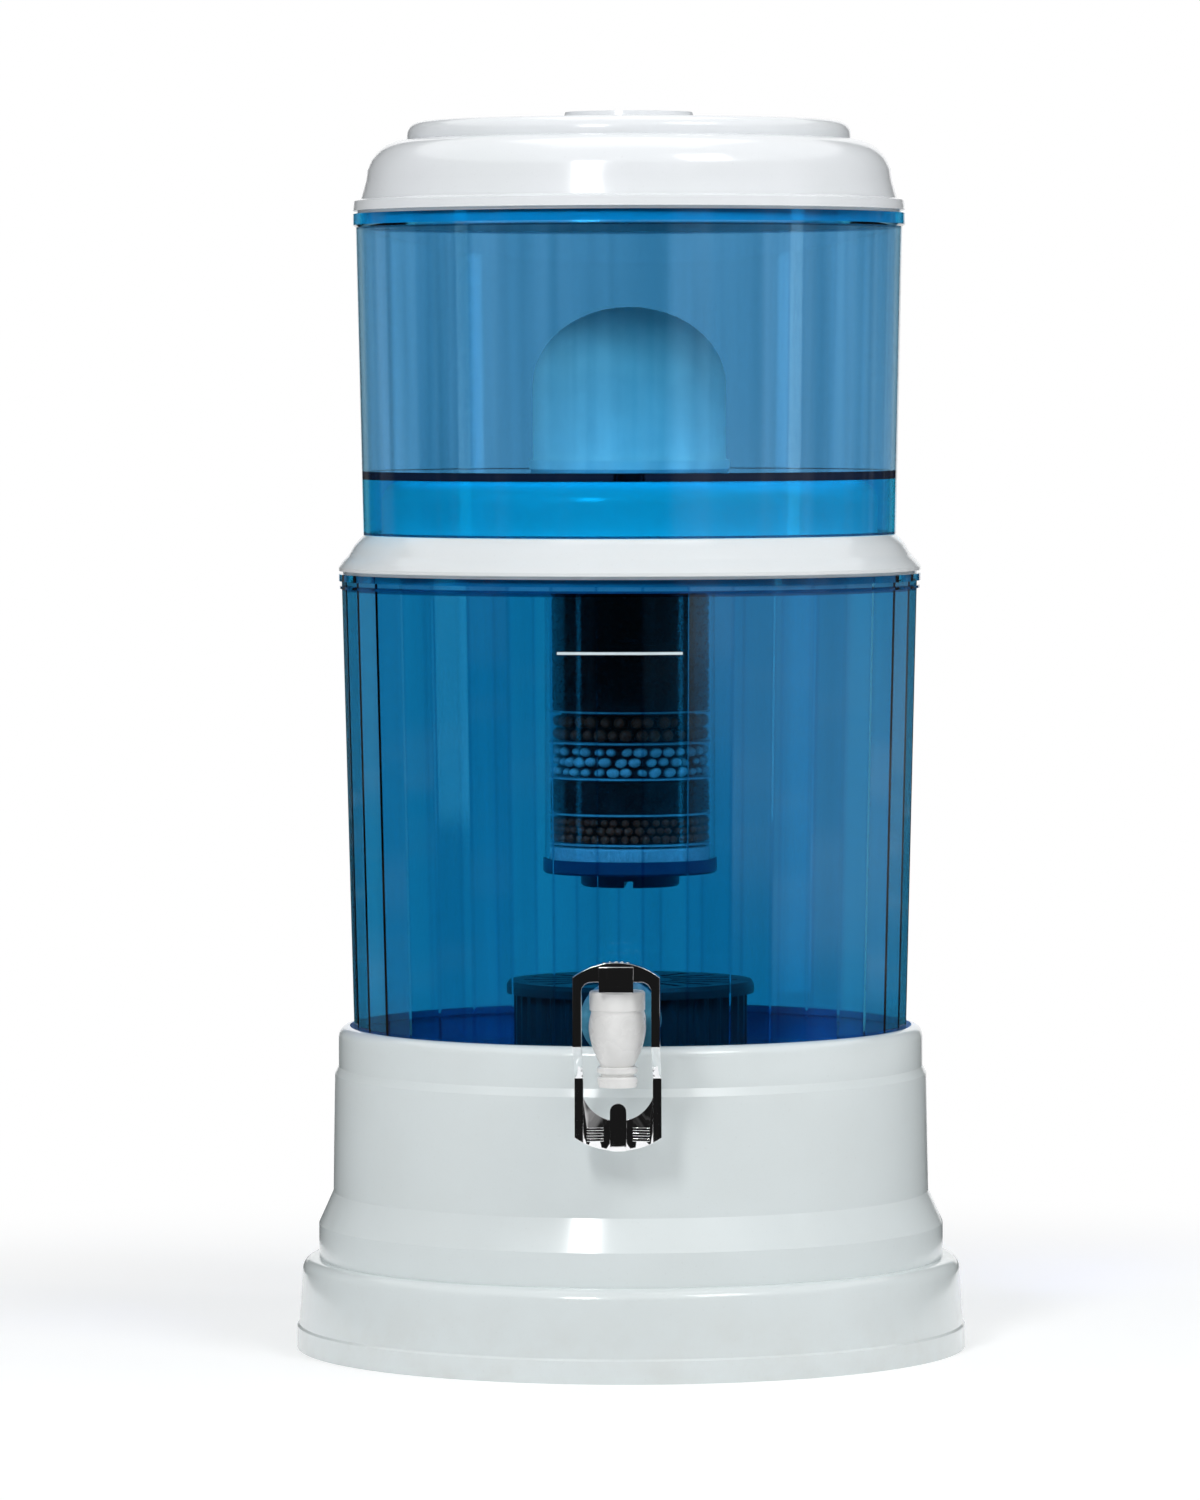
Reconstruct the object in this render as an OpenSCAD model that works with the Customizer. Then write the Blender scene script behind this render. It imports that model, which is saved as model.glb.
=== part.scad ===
// Gravity water filter: two clear tanks stacked on a stepped base, with a ceramic
// dome in the upper one, a layered mineral cartridge hanging into the lower one,
// a mineral cassette on its floor and a push-lever tap on its wall.
// Millimetres. +Z is up, z = 0 is the bench, the tanks' axis is x = y = 0 and the
// tap points along -Y. Each piece stands on the one below, so heights add up.

/* [Base] */
// Diameter of the foot ring on the bench
foot_d = 300; // [290:1:320]
// Height of the foot band with its rounded shoulder
foot_h = 40.8; // [32:0.1:46]
// Height of the small lip at the bench
foot_lip_h = 10; // [4:0.5:16]
// How far the foot band steps in above the lip
foot_lip = 0.9; // [0.4:0.1:2]
// How far the foot band leans in towards its shoulder
foot_draft = 1.6; // [0.5:0.1:3]
// Rounding of the foot's shoulder
foot_round = 6; // [3:0.5:8]
// Diameter of the belt above the foot
belt_d = 280; // [276:1:284]
// Height of the belt
belt_h = 15; // [8:0.5:22]
// Height of the slope between the belt and the wall
slope_h = 14.5; // [8:0.5:20]
// Diameter of the wall above the slope
wall_d = 267; // [264:1:270]
// Height of the wall
wall_h = 52.5; // [44:0.5:60]
// How far the wall leans in towards its top
wall_draft = 0.8; // [0.2:0.1:1.5]
// Height of the step between the wall and the neck
step_h = 3.6; // [2:0.1:5]
// Diameter of the neck round the tank's foot
neck_d = 262; // [260:0.5:264]
// Height of the neck
neck_h = 18; // [14:0.5:24]
// Rounding of the neck's rim
neck_round = 5; // [3:0.5:6]
// Wall thickness of the base
base_wall = 3; // [2:0.1:4]
// Height of the deck above the foot of the neck
deck_rise = 1.1; // [0.5:0.1:3]
// Thickness of the deck that carries the tank
deck_t = 3; // [2:0.1:5]
// Width of the ledge in the neck that the deck rests on
deck_ledge = 4; // [3:0.5:8]
// Number of ribs under the deck
deck_ribs = 12; // [6:1:18]
// Thickness of a rib
rib_t = 2; // [1:0.1:3]
// Depth of a rib below the deck
rib_h = 12; // [6:0.5:20]

/* [Lower tank] */
// Diameter over the corners at the floor
lower_d = 247.2; // [244:0.2:248.6]
// Diameter over the corners under the rim
lower_top_d = 257.8; // [255:0.2:259]
// Height with the rim
lower_h = 219.4; // [200:0.2:240]
// Wall thickness
lower_wall = 2.5; // [2:0.1:3]
// Floor thickness
lower_floor_t = 2.5; // [2:0.1:4]
// Number of flat facets round the wall
facets = 40; // [24:8:48]
// Diameter of the rim
lower_rim_d = 260.6; // [259.6:0.2:264]
// Thickness of the rim
lower_rim_h = 3.1; // [2:0.1:5]
// Height of the bead under the rim
bead_h = 1.2; // [0.8:0.1:2]
// Distance between the rim and its bead
bead_gap = 2.2; // [1:0.1:4]
// How far the bead stands out of the wall
bead_out = 1; // [0.5:0.1:1.4]

/* [Middle cover] */
// Wall thickness
cover_wall = 2.4; // [2:0.1:3]
// Height of the shadow gap over a rim
shadow_gap = 1.4; // [0.8:0.1:2]
// How far the seat under a flange lies inside its edge
seat_in = 1.8; // [1:0.1:3]
// Thickness of the flange's edge
cover_edge_h = 1.6; // [1:0.1:3]
// Height from the lower rim to the ledge that carries the upper tank
cover_h = 17.5; // [14:0.1:24]
// Diameter of the raised tier inside the upper tank's skirt
tier_d = 222; // [200:1:224]
// Height of the raised tier
tier_h = 24.1; // [16:0.1:24.4]
// Rounding of the tier's shoulder
tier_round = 10; // [4:0.5:12]
// Diameter of the hole for the cartridge
cover_hole_d = 84; // [82:0.5:96]
// Depth of the ring that plugs into a tank's mouth
plug_h = 6; // [4:0.5:10]
// Gap between a plug ring and the tank's wall
plug_gap = 0.5; // [0.3:0.1:1]

/* [Upper tank] */
// Diameter at the foot of the skirt
upper_d = 238.6; // [236:0.2:240]
// Diameter under the rim
upper_top_d = 244.6; // [242:0.2:246]
// Height with the skirt and the rim
upper_h = 143; // [120:0.5:170]
// Wall thickness
upper_wall = 2.5; // [2:0.1:2.8]
// Height of the skirt below the floor
skirt_h = 24.9; // [24.6:0.1:28]
// Floor thickness
upper_floor_t = 3.3; // [2.5:0.1:5]
// Diameter of the rim
upper_rim_d = 246.8; // [246.4:0.2:250]
// Thickness of the rim
upper_rim_h = 5; // [2:0.1:6]

/* [Lid] */
// Wall thickness
lid_wall = 2.4; // [2:0.1:3]
// Thickness of the flange
lid_flange_t = 5.3; // [4:0.1:7]
// Diameter of the wall above the flange
lid_foot_d = 239.6; // [238:0.2:242]
// Diameter of the wall where its shoulder starts
lid_wall_d = 235; // [230:0.5:238]
// Height of the wall below the shoulder
lid_wall_h = 8.1; // [4:0.1:12]
// Radius of the shoulder
lid_shoulder = 18.3; // [12:0.1:22]
// Diameter of the raised top
lid_top_d = 198.4; // [180:0.2:199]
// Height of the raised top
lid_top_h = 8; // [6.5:0.1:12]
// Rounding of the raised top
lid_top_round = 6; // [3:0.1:6]
// Rise of the top towards its centre
lid_crown = 2.2; // [1:0.1:5]
// Diameter of the centre disc
lid_disc_d = 58; // [40:1:80]
// Height of the centre disc
lid_disc_h = 2; // [1:0.1:4]

/* [Ceramic filter] */
// Diameter of the ceramic dome
dome_d = 86.4; // [80:0.2:92]
// Height of the dome's straight side
dome_side_h = 35.8; // [20:0.2:50]
// Height of the dome's rounded top
dome_cap_h = 34.9; // [20:0.1:40]
// Wall thickness of the ceramic
dome_wall = 7; // [5:0.1:10]
// How far the base dish stands out round the dome
dish_out = 1.6; // [1:0.1:3]
// Thickness of the base dish
dish_t = 2.6; // [2.2:0.1:4]
// Height of the dish's rim round the foot of the dome
dish_rim_h = 2.4; // [1:0.1:4]
// Diameter of the threaded stem
dome_stem_d = 12; // [10:0.2:14]
// Bore of the threaded stem
dome_stem_bore = 6; // [4:0.2:8]
// Diameter of the gasket under the dish
gasket_d = 30; // [24:0.5:40]
// Thickness of the gasket
gasket_t = 1.4; // [1:0.1:1.6]
// Width of the lock nut over its corners
dome_nut_d = 28; // [24:0.5:34]
// Height of the lock nut
dome_nut_h = 5; // [4:0.1:7]

/* [Cartridge] */
// Diameter of the clear housing
cart_d = 75.8; // [70:0.2:77]
// Wall thickness of the housing
cart_wall = 1.8; // [1.4:0.1:2.4]
// Length of the housing below the head
cart_len = 134; // [120:0.5:140]
// How far the head's skirt stands out of the housing
head_out = 1.6; // [1.2:0.1:2.2]
// Height of the head's skirt
head_skirt_h = 18; // [12:0.5:24]
// Diameter of the head's collar
collar_d = 24; // [20:0.5:30]
// Height of the head's collar
collar_h = 14; // [10:0.5:18]
// Height of the head's sloped shoulder
head_slope_h = 4; // [2:0.1:8]
// Thickness of the seal between the lock nut and the collar
cart_seal_t = 1.5; // [1:0.1:2.5]
// Height of the filter pad at the bottom
pad_h = 11.2; // [8:0.1:14]
// Height of the layer of small balls
small_h = 12.6; // [10:0.1:16]
// Height of the lower carbon layer
carbon_low_h = 15.2; // [10:0.1:20]
// Height of the layer of pale balls
zeolite_h = 15; // [12:0.1:18]
// Height of the layer of large balls
large_h = 13.1; // [12.6:0.1:16]
// Thickness of a screen between layers
screen_t = 0.8; // [0.6:0.1:1.2]
// Diameter of a small ball
small_ball_d = 4.1; // [3.6:0.1:4.1]
// Diameter of a pale ball
zeolite_ball_d = 4.9; // [4:0.1:4.9]
// Diameter of a large ball
large_ball_d = 6.4; // [5:0.1:6.4]
// Thickness of the foot's plate
cart_foot_t = 2; // [1.5:0.1:3]
// Height of the foot's rim round the housing
cart_foot_rim_h = 4.5; // [3:0.1:8]
// Diameter of the nozzle disc under the cartridge
nozzle_d = 44; // [36:0.5:60]
// Height of the nozzle disc
nozzle_h = 6; // [4:0.1:9]
// Width of a nozzle slot
nozzle_slot = 4; // [3:0.1:5]

/* [Cassette] */
// Diameter over the ribs
cassette_d = 104; // [96:0.5:108]
// Height of the case
cassette_h = 29; // [22:0.5:34]
// Number of ribs round the case
cassette_ribs = 40; // [24:2:48]
// Depth of a rib
cassette_rib = 1.5; // [0.8:0.1:2.5]
// Wall thickness of the case
cassette_wall = 2; // [1.5:0.1:3]
// Diameter of the slotted lid
cassette_lid_d = 110; // [108.5:0.5:114]
// Height of the slotted lid
cassette_lid_h = 5.5; // [4:0.1:8]
// Number of slots in the lid
cassette_slots = 18; // [8:2:24]
// Width of a slot in the lid
cassette_slot = 4; // [2.5:0.1:5]
// Diameter of a mineral stone
stone_d = 9.6; // [8:0.1:11]

/* [Tap body] */
// Height of the tap's inlet above the tank's underside
tap_h = 28.5; // [28.5:0.5:60]
// Distance from the tank's wall to the barrel's axis
tap_reach = 38.2; // [37.6:0.1:44]
// Largest diameter of the barrel
barrel_d = 24.6; // [23:0.1:25]
// Diameter of the barrel at its waist
waist_d = 14.2; // [13:0.1:16]
// Height of the barrel above the inlet
barrel_up = 6.1; // [6.1:0.1:8]
// Height of the widest place below the inlet
barrel_mid = 0.5; // [0.2:0.1:3]
// Length of the barrel below the inlet
barrel_down = 17.1; // [15.5:0.1:20]
// How far the barrel draws in under the cap
belly_in = 1; // [0.2:0.1:1.4]
// Diameter of the upper spout ring
ring_d = 17.6; // [15.6:0.1:19]
// Height of the upper spout ring
ring_h = 3; // [2:0.1:4]
// Height of the groove between the rings
groove_h = 1.3; // [0.8:0.1:2]
// Diameter of the spout's end
spout_d = 17.4; // [15:0.1:18]
// Height of the spout's end
spout_h = 4.6; // [3:0.1:6]
// Bore of the spout
spout_bore = 9.6; // [8:0.1:10.4]
// Diameter of the valve chamber
chamber_d = 16.4; // [15:0.1:17]
// Depth of the valve seat below the inlet
seat_depth = 9; // [8:0.1:10]
// Diameter of the cap
cap_d = 24; // [24:0.1:25.4]
// Height of the cap
cap_h = 9.3; // [8:0.1:11]
// Thickness of the cap's top
cap_top_t = 3; // [2.4:0.1:4]
// Diameter of the neck between the barrel and the wall
inlet_d = 12; // [11:0.1:12]
// Bore of the inlet
inlet_bore = 7.2; // [5:0.1:8]
// Diameter of the flange outside the wall
tap_flange_d = 22; // [20:0.1:22.4]
// Thickness of that flange
tap_flange_t = 3; // [2:0.1:4]
// Diameter of the threaded part through the wall
thread_d = 11.6; // [10.6:0.1:12]
// Length of the threaded part inside the wall
thread_len = 13; // [12:0.1:16]
// Thickness of a washer
washer_t = 2; // [1.5:0.1:2.5]
// Diameter of the inner washer
inner_washer_d = 35; // [30:0.1:36]
// Width of the nut over its corners
tap_nut_d = 26; // [20:0.1:32]
// Thickness of the nut
tap_nut_t = 8; // [6:0.1:9]

/* [Valve and lever] */
// Diameter of the valve stem
stem_d = 6; // [5:0.1:7]
// Height of the lever's pin above the cap
pin_h = 5; // [4.6:0.1:6]
// Diameter of the lever's pin
pin_d = 3; // [2.4:0.1:3.4]
// Distance of the cam's foot in front of the pin
cam_reach = 9; // [8.4:0.1:9.4]
// Diameter of the valve seal
seal_d = 13.4; // [12.4:0.1:14]
// Thickness of the valve seal
seal_t = 3.4; // [2.5:0.1:4]
// Outer diameter of the valve spring
spring_d = 12.4; // [11:0.1:13]
// Diameter of the spring's wire
wire_d = 0.9; // [0.7:0.1:1.1]
// Number of turns of the spring
spring_turns = 6; // [4:1:6]
// Width of the lever
lever_w = 37.4; // [36.6:0.1:40]
// Width of an arm of the lever
arm_w = 3.7; // [3:0.1:4]
// Depth of the upper arms from front to back
arm_d = 9; // [6:0.1:10]
// Depth of the lower arms from front to back
foot_arm_d = 7; // [5:0.1:8]
// How far the lower arms lie behind the upper ones
kink_back = 20; // [18:0.5:20]
// Height of the crown over the cap
crown_h = 13; // [11.6:0.1:14]
// Radius of the crown's arch
crown_r = 30.5; // [26:0.5:40]
// Height of the opening's top edge over the cap
bow_h = 4.7; // [4:0.1:6]
// Corner radius of the opening
bow_round = 4.4; // [2:0.1:6]
// Depth of the upper kink below the cap
kink_top = 23.2; // [20:0.1:26]
// Height of the kinked stretch
kink_h = 14.9; // [12:0.1:18]
// Length of the lever below the cap
lever_len = 69.8; // [62:0.1:72]
// Radius of the lever's bottom edge
sole_r = 32.6; // [28:0.5:40]
// Height of the push plate at its middle
plate_h = 12.9; // [9:0.1:15]
// Thickness of the push plate
plate_t = 2.2; // [1.6:0.1:3]
// How far the push plate is hollowed between the arms
plate_hollow = 3; // [1:0.1:4]
// Radius of the push plate's crescent edge
crescent_r = 16; // [15.4:0.1:20]
// Width of the finger on the push plate
finger_w = 7.1; // [5:0.1:9]
// Height of the finger over the bottom edge
finger_h = 20.7; // [16:0.1:22]
// Width of the hub over the stem
hub_w = 14.8; // [13:0.1:17]
// Height of the hub
hub_h = 9.6; // [9:0.1:10.4]
// How far the hub reaches behind the pin
hub_back = 7; // [5.6:0.1:9]
// How far the hub's front block stands out of the crown
block_out = 0.8; // [0.4:0.1:2]
// How far the block's top lies below the crown's top
block_drop = 1.9; // [1.2:0.1:3]

/* [Hidden] */
$fn = 96;

// Cuts and joins run past a face by this much.
over = 1;
// Size of a chamfer along a moulded edge.
edge_cut = 1;
// Radial clearance of a pin or stem in its bore.
run_fit = 0.05;
// Gap between pieces that are put together loosely.
loose = 0.2;
// Steps of a rounded corner in a profile.
arc_steps = 6;
ball_fn = 32;
// Height of a row of nested balls, as a share of a ball.
nest_share = 0.9;
// Radius of the ring in the middle of the deck's ribs, as a share of the foot's.
rib_hub_share = 0.2;
// Where the slots in the cassette's lid start, as a share of its radius.
slot_in_share = 1 / 3;
// Angle in degrees that the lever tilts through.
lever_tilt = 10;
// Angle in degrees at which the rounding of the lid's raised top runs out.
lid_top_turn = 80;
// Grip ridges across the lever's crown.
ridges = 5;
ridge_pitch = 2.6;
ridge_r = 0.6;
// Sizes on the lever as shares of the piece that they belong to.
kink_drop_share = 0.4;
grip_share = 0.09;
grip_rise_share = 1 / 3;
plate_joint_share = 1 / 3;
stem_room_share = 0.72;

// Heights on the bench.
belt_z = foot_h;
slope_z = belt_z + belt_h;
wall_z = slope_z + slope_h;
step_z = wall_z + wall_h;
neck_z = step_z + step_h;
base_h = neck_z + neck_h;
deck_z = neck_z + deck_rise;
lower_rim_z = deck_z + lower_h;
ledge_z = lower_rim_z + cover_h;
upper_floor_z = ledge_z + skirt_h;
dome_z = upper_floor_z + upper_floor_t;
upper_rim_z = ledge_z + upper_h;

// The tank's wall.
facet_turn = 180 / facets;
facet_share = cos(facet_turn);
lower_wall_h = lower_h - lower_rim_h;
function lower_r(h) = lower_d / 2 + (lower_top_d - lower_d) / 2 * h / lower_wall_h;
function lower_in_r(h) = lower_r(h) * facet_share - lower_wall;
function facet_ring(r) = [
    for (i = [0:facets - 1])
    r * [cos((2 * i + 1) * facet_turn), sin((2 * i + 1) * facet_turn)]
];
function upper_r(h) = upper_d / 2 + (upper_top_d - upper_d) / 2 * h / upper_h;

// Cartridge, from the upper tank's floor down.
cart_seal_z = upper_floor_z - dome_nut_h - cart_seal_t;
collar_z = cart_seal_z - collar_h;
head_slope_z = collar_z - head_slope_h;
head_z = head_slope_z - head_skirt_h;
cart_z = head_z - cart_len;
cart_r = cart_d / 2;
cart_in_r = cart_r - cart_wall;
head_r = cart_r + head_out;
head_top_t = cart_wall;
pad_z = cart_z + cart_foot_t;
small_z = pad_z + pad_h + screen_t;
carbon_low_z = small_z + small_h + screen_t;
zeolite_z = carbon_low_z + carbon_low_h + screen_t;
large_z = zeolite_z + zeolite_h + screen_t;
carbon_up_z = large_z + large_h + screen_t;
carbon_up_h = head_z - carbon_up_z;
screen_zs = [small_z, carbon_low_z, zeolite_z, large_z, carbon_up_z];
media_r = cart_in_r - loose;

// Tap. Its frame has the inlet's axis at z = 0 and the barrel's at y = 0.
pad_out_r = tap_flange_d / 2 + edge_cut;
pad_in_r = inner_washer_d / 2;
wall_face_y = -lower_r(tap_h + pad_out_r) * facet_share - loose;
wall_back_y = -sqrt(pow(lower_in_r(tap_h - pad_in_r), 2) - pow(pad_in_r, 2)) + loose;
lever_front = cam_reach + pin_h;
lever_back = lever_front - kink_back;
// The lever's foot clears the base when it is pushed right back.
lever_room = foot_arm_d - lever_back + (lever_len + pin_h) * sin(lever_tilt) + loose;
tap_y = min(wall_face_y - tap_reach, -max(neck_d, wall_d) / 2 - lever_room);
tap_z = deck_z + tap_h;
wall_at = wall_face_y - tap_y;
back_at = wall_back_y - tap_y;
cap_z = barrel_up + cap_h;
pin_z = cap_z + pin_h;
spigot_d = cap_d - 2 * cap_top_t;
bush_share = 2 / 3;
bush_flange_share = 1 / 3;
bush_flange_t = cap_top_t * bush_flange_share;
bush_flange_d = 2 * cam_reach - pin_d;
bush_d = bush_flange_d * bush_share;

bush_z = barrel_up + cap_h - cap_top_t * 2;
stem_collar_t = seal_t / 2;
stem_collar_d = spring_d - wire_d;

function flip(points) = [for (i = [len(points) - 1:-1:0]) points[i]];
function arc(x, z, r, from, to) = [
    for (i = [0:arc_steps])
    [x + r * cos(from + (to - from) * i / arc_steps), z + r * sin(from + (to - from) * i / arc_steps)]
];
// The inner side of a profile that is drawn from the bench up: under the outer side
// where that draws in, and over it where that widens.
function widens(points, i) =
    points[max(i - 1, 0)][0] < points[i][0]
    || points[i][0] < points[min(i + 1, len(points) - 1)][0];
function inside(points, wall) = [
    for (i = [0:len(points) - 1])
    [points[i][0] - wall, max(points[i][1] + (widens(points, i) ? wall : -wall), 0)]
];

module ring(outer_r, inner_r, h) {
    difference() {
        cylinder(r = outer_r, h = h);
        translate([0, 0, -over]) cylinder(r = inner_r, h = h + 2 * over);
    }
}

module along_y(r, from, to) {
    translate([0, from, 0]) rotate([-90, 0, 0]) cylinder(r = r, h = to - from);
}

// Draws in the tap's frame.
module at_tap() {
    translate([0, tap_y, tap_z]) children();
}

// Extrudes a shape drawn in x and z from one y to another.
module front_extrude(from, to) {
    translate([0, to, 0]) rotate([90, 0, 0]) linear_extrude(height = to - from) children();
}

// Extrudes a shape drawn in y and z across x, centred.
module side_extrude(w) {
    translate([-w / 2, 0, 0]) rotate([90, 0, 90]) linear_extrude(height = w) children();
}

// Base: a moulded shell, open below, with a ledge in its neck for the deck.
foot_r = foot_d / 2;
foot_in_r = foot_r - foot_lip - foot_draft;
neck_r = neck_d / 2;
lip_r = neck_r - neck_round;
wall_top_r = wall_d / 2 - wall_draft;
base_in_r = wall_top_r - base_wall;
neck_in_r = neck_r - base_wall;
ledge_in_r = min(neck_in_r - deck_ledge, base_in_r);
deck_foot_z = deck_z - deck_t;
// A neck that is wider than the wall starts under the ledge.
step_top_z = wall_top_r < neck_r ? deck_foot_z - base_wall : neck_z;
step_foot_z = step_top_z - step_h;
rib_hub_r = foot_r * rib_hub_share;
rib_z = deck_foot_z - rib_h;
base_outline = concat(
    [
        [foot_r, 0], [foot_r, foot_lip_h],
        [foot_r - foot_lip, foot_lip_h + foot_lip]
    ],
    arc(foot_in_r - foot_round, foot_h - foot_round, foot_round, 0, 90),
    [
        [belt_d / 2, belt_z], [belt_d / 2, slope_z],
        [wall_d / 2, wall_z], [wall_top_r, step_foot_z],
        [neck_r, step_top_z]
    ],
    arc(neck_r - neck_round, base_h - neck_round, neck_round, 0, 90)
);
base_hollow = inside(
    [for (p = base_outline) if (p[1] <= step_foot_z) p], base_wall
);

module base_shell() {
    color("white") rotate_extrude() polygon(concat(
        base_outline,
        [
            [lip_r, base_h - base_wall], [neck_in_r, base_h - base_wall - edge_cut],
            [neck_in_r, deck_foot_z], [ledge_in_r, deck_foot_z],
            [ledge_in_r, deck_foot_z - base_wall], [base_in_r, deck_foot_z - base_wall]
        ],
        flip(base_hollow)
    ));
}

// Deck: a plate on the shell's ledge that carries the tank, with ribs under it.
module base_deck() {
    rib_end = ledge_in_r - loose;
    rib_start = rib_hub_r + rib_t / 2;
    color("white") {
        translate([0, 0, deck_foot_z]) cylinder(r = neck_in_r - loose, h = deck_t);
        for (i = [0:deck_ribs - 1])
            rotate([0, 0, (i + 1 / 2) * 360 / deck_ribs])
                translate([rib_start, -rib_t / 2, rib_z])
                    cube([rib_end - rib_start, rib_t, rib_h + deck_t / 2]);
        translate([0, 0, rib_z]) ring(rib_hub_r + rib_t, rib_hub_r, rib_h + deck_t / 2);
    }
}

// Lower tank: flat facets outside and inside, so the wall is as thick all round.
module lower_tank() {
    color([0.05, 0.35, 0.6, 0.5]) translate([0, 0, deck_z]) difference() {
        union() {
            linear_extrude(height = lower_wall_h, scale = lower_top_d / lower_d, slices = 1)
                polygon(facet_ring(lower_d / 2));
            translate([0, 0, lower_wall_h]) cylinder(d = lower_rim_d, h = lower_rim_h);
            translate([0, 0, lower_wall_h - bead_gap - bead_h])
                cylinder(r = lower_r(lower_wall_h) + bead_out, h = bead_h);
            translate([0, 0, tap_h]) along_y(pad_out_r, wall_face_y, wall_face_y + lower_wall);
            intersection() {
                translate([0, 0, tap_h])
                    along_y(pad_in_r, wall_face_y + lower_wall / 2, wall_back_y);
                cylinder(r1 = lower_in_r(0) + over, r2 = lower_in_r(lower_wall_h) + over, h = lower_wall_h);
            }
        }
        difference() {
            translate([0, 0, lower_floor_t])
                linear_extrude(
                    height = lower_h - lower_floor_t + over,
                    scale = lower_in_r(lower_h + over) / lower_in_r(lower_floor_t), slices = 1
                )
                    polygon(facet_ring(lower_in_r(lower_floor_t) / facet_share));
            translate([0, 0, tap_h]) along_y(pad_in_r, wall_face_y, wall_back_y);
        }
        translate([0, 0, tap_h])
            along_y(thread_d / 2 + loose, wall_face_y - over, wall_back_y + over);
    }
}

// Middle cover: a flange on the lower rim, a ledge for the upper tank's skirt and
// a raised tier with the hole that the cartridge hangs through.
cover_slope_shares = [
    [0, 0], [0.08, 0.09], [0.19, 0.21], [0.33, 0.32], [0.44, 0.44], [0.62, 0.68], [0.84, 0.88], [1, 1]
];
cover_r = lower_rim_d / 2;
ledge_r = upper_d / 2 - plug_gap;
cover_edge_z = shadow_gap + cover_edge_h;
cover_outline = concat(
    [
        for (s = cover_slope_shares)
        [cover_r + (ledge_r - cover_r) * s[0], cover_edge_z + (cover_h - cover_edge_z) * s[1]]
    ],
    [[tier_d / 2, cover_h]],
    arc(tier_d / 2 - tier_round, cover_h + tier_h - tier_round, tier_round, 0, 90)
);

module mid_cover() {
    hole_r = cover_hole_d / 2;
    plug_r = lower_in_r(lower_h) - plug_gap;
    foot_plug_r = lower_in_r(lower_h - plug_h) - plug_gap;
    color("white") translate([0, 0, lower_rim_z]) rotate_extrude() polygon(concat(
        [
            [foot_plug_r - cover_wall, -plug_h], [foot_plug_r, -plug_h], [plug_r, 0],
            [cover_r - seat_in, 0], [cover_r - seat_in, shadow_gap], [cover_r, shadow_gap]
        ],
        cover_outline,
        [[hole_r, cover_h + tier_h], [hole_r, cover_h + tier_h - cover_wall]],
        flip([
            for (p = cover_outline)
            if (p[0] <= tier_d / 2 || p[0] < plug_r)
            [p[0] - cover_wall, p[1] - cover_wall]
        ]),
        [[plug_r - cover_wall, shadow_gap]]
    ));
}

// Upper tank: a slightly conical wall with its floor part way up.
module upper_tank() {
    rim_z = upper_h - upper_rim_h;
    stem_hole_r = dome_stem_d / 2 + loose;
    color([0.1, 0.45, 0.7, 0.5]) translate([0, 0, ledge_z]) rotate_extrude() polygon([
        [upper_r(0) - upper_wall, 0], [upper_r(0), 0],
        [upper_r(rim_z - edge_cut), rim_z - edge_cut], [upper_rim_d / 2, rim_z],
        [upper_rim_d / 2, upper_h], [upper_r(upper_h) - upper_wall, upper_h],
        [upper_r(skirt_h + upper_floor_t) - upper_wall, skirt_h + upper_floor_t],
        [stem_hole_r, skirt_h + upper_floor_t], [stem_hole_r, skirt_h],
        [upper_r(skirt_h) - upper_wall, skirt_h]
    ]);
}

// Lid: a flange, a rounded shoulder, a raised top and a centre disc.
lid_flange_z = shadow_gap + lid_flange_t;
lid_shoulder_z = lid_flange_z + lid_wall_h;
lid_step_z = lid_shoulder_z + lid_shoulder;
lid_top_z = lid_step_z + lid_top_h;
lid_outline = concat(
    [
        [upper_rim_d / 2, shadow_gap], [upper_rim_d / 2 - edge_cut / 2, lid_flange_z - edge_cut],
        [lid_foot_d / 2, lid_flange_z]
    ],
    arc(lid_wall_d / 2 - lid_shoulder, lid_shoulder_z, lid_shoulder, 0, 90),
    arc(
        lid_top_d / 2 - lid_top_round, lid_top_z - lid_top_round, lid_top_round,
        0, lid_top_turn
    ),
    [[lid_disc_d / 2, lid_top_z + lid_crown]]
);

module lid() {
    plug_r = upper_r(upper_h) - upper_wall - plug_gap;
    disc_z = lid_top_z + lid_crown + lid_disc_h;
    color("white") translate([0, 0, upper_rim_z]) rotate_extrude() polygon(concat(
        [
            [plug_r - lid_wall, -plug_h], [plug_r - edge_cut / 2, -plug_h], [plug_r, -edge_cut],
            [plug_r, 0], [upper_rim_d / 2 - seat_in, 0], [upper_rim_d / 2 - seat_in, shadow_gap]
        ],
        lid_outline,
        [
            [lid_disc_d / 2 - edge_cut / 2, disc_z], [0, disc_z],
            [0, disc_z - lid_wall]
        ],
        flip([
            for (p = lid_outline)
            if (p[1] >= lid_shoulder_z)
            [p[0] - lid_wall, p[1] - lid_wall]
        ]),
        [[plug_r - lid_wall, lid_flange_z]]
    ));
}

// Ceramic filter: a hollow dome glued into a dish with a threaded, bored stem.
function dome_points(r, h) = [
    for (i = [0:2 * arc_steps])
    let (rise = 90 * i / (2 * arc_steps))
    [r * cos(rise), dome_side_h + h * sin(rise)]
];

module dome_filter() {
    r = dome_d / 2;
    color("skyblue") translate([0, 0, dome_z + dish_t]) rotate_extrude() polygon(concat(
        [[r - dome_wall, 0], [r, 0]],
        dome_points(r, dome_cap_h),
        flip(dome_points(r - dome_wall, dome_cap_h - dome_wall))
    ));
}

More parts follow.
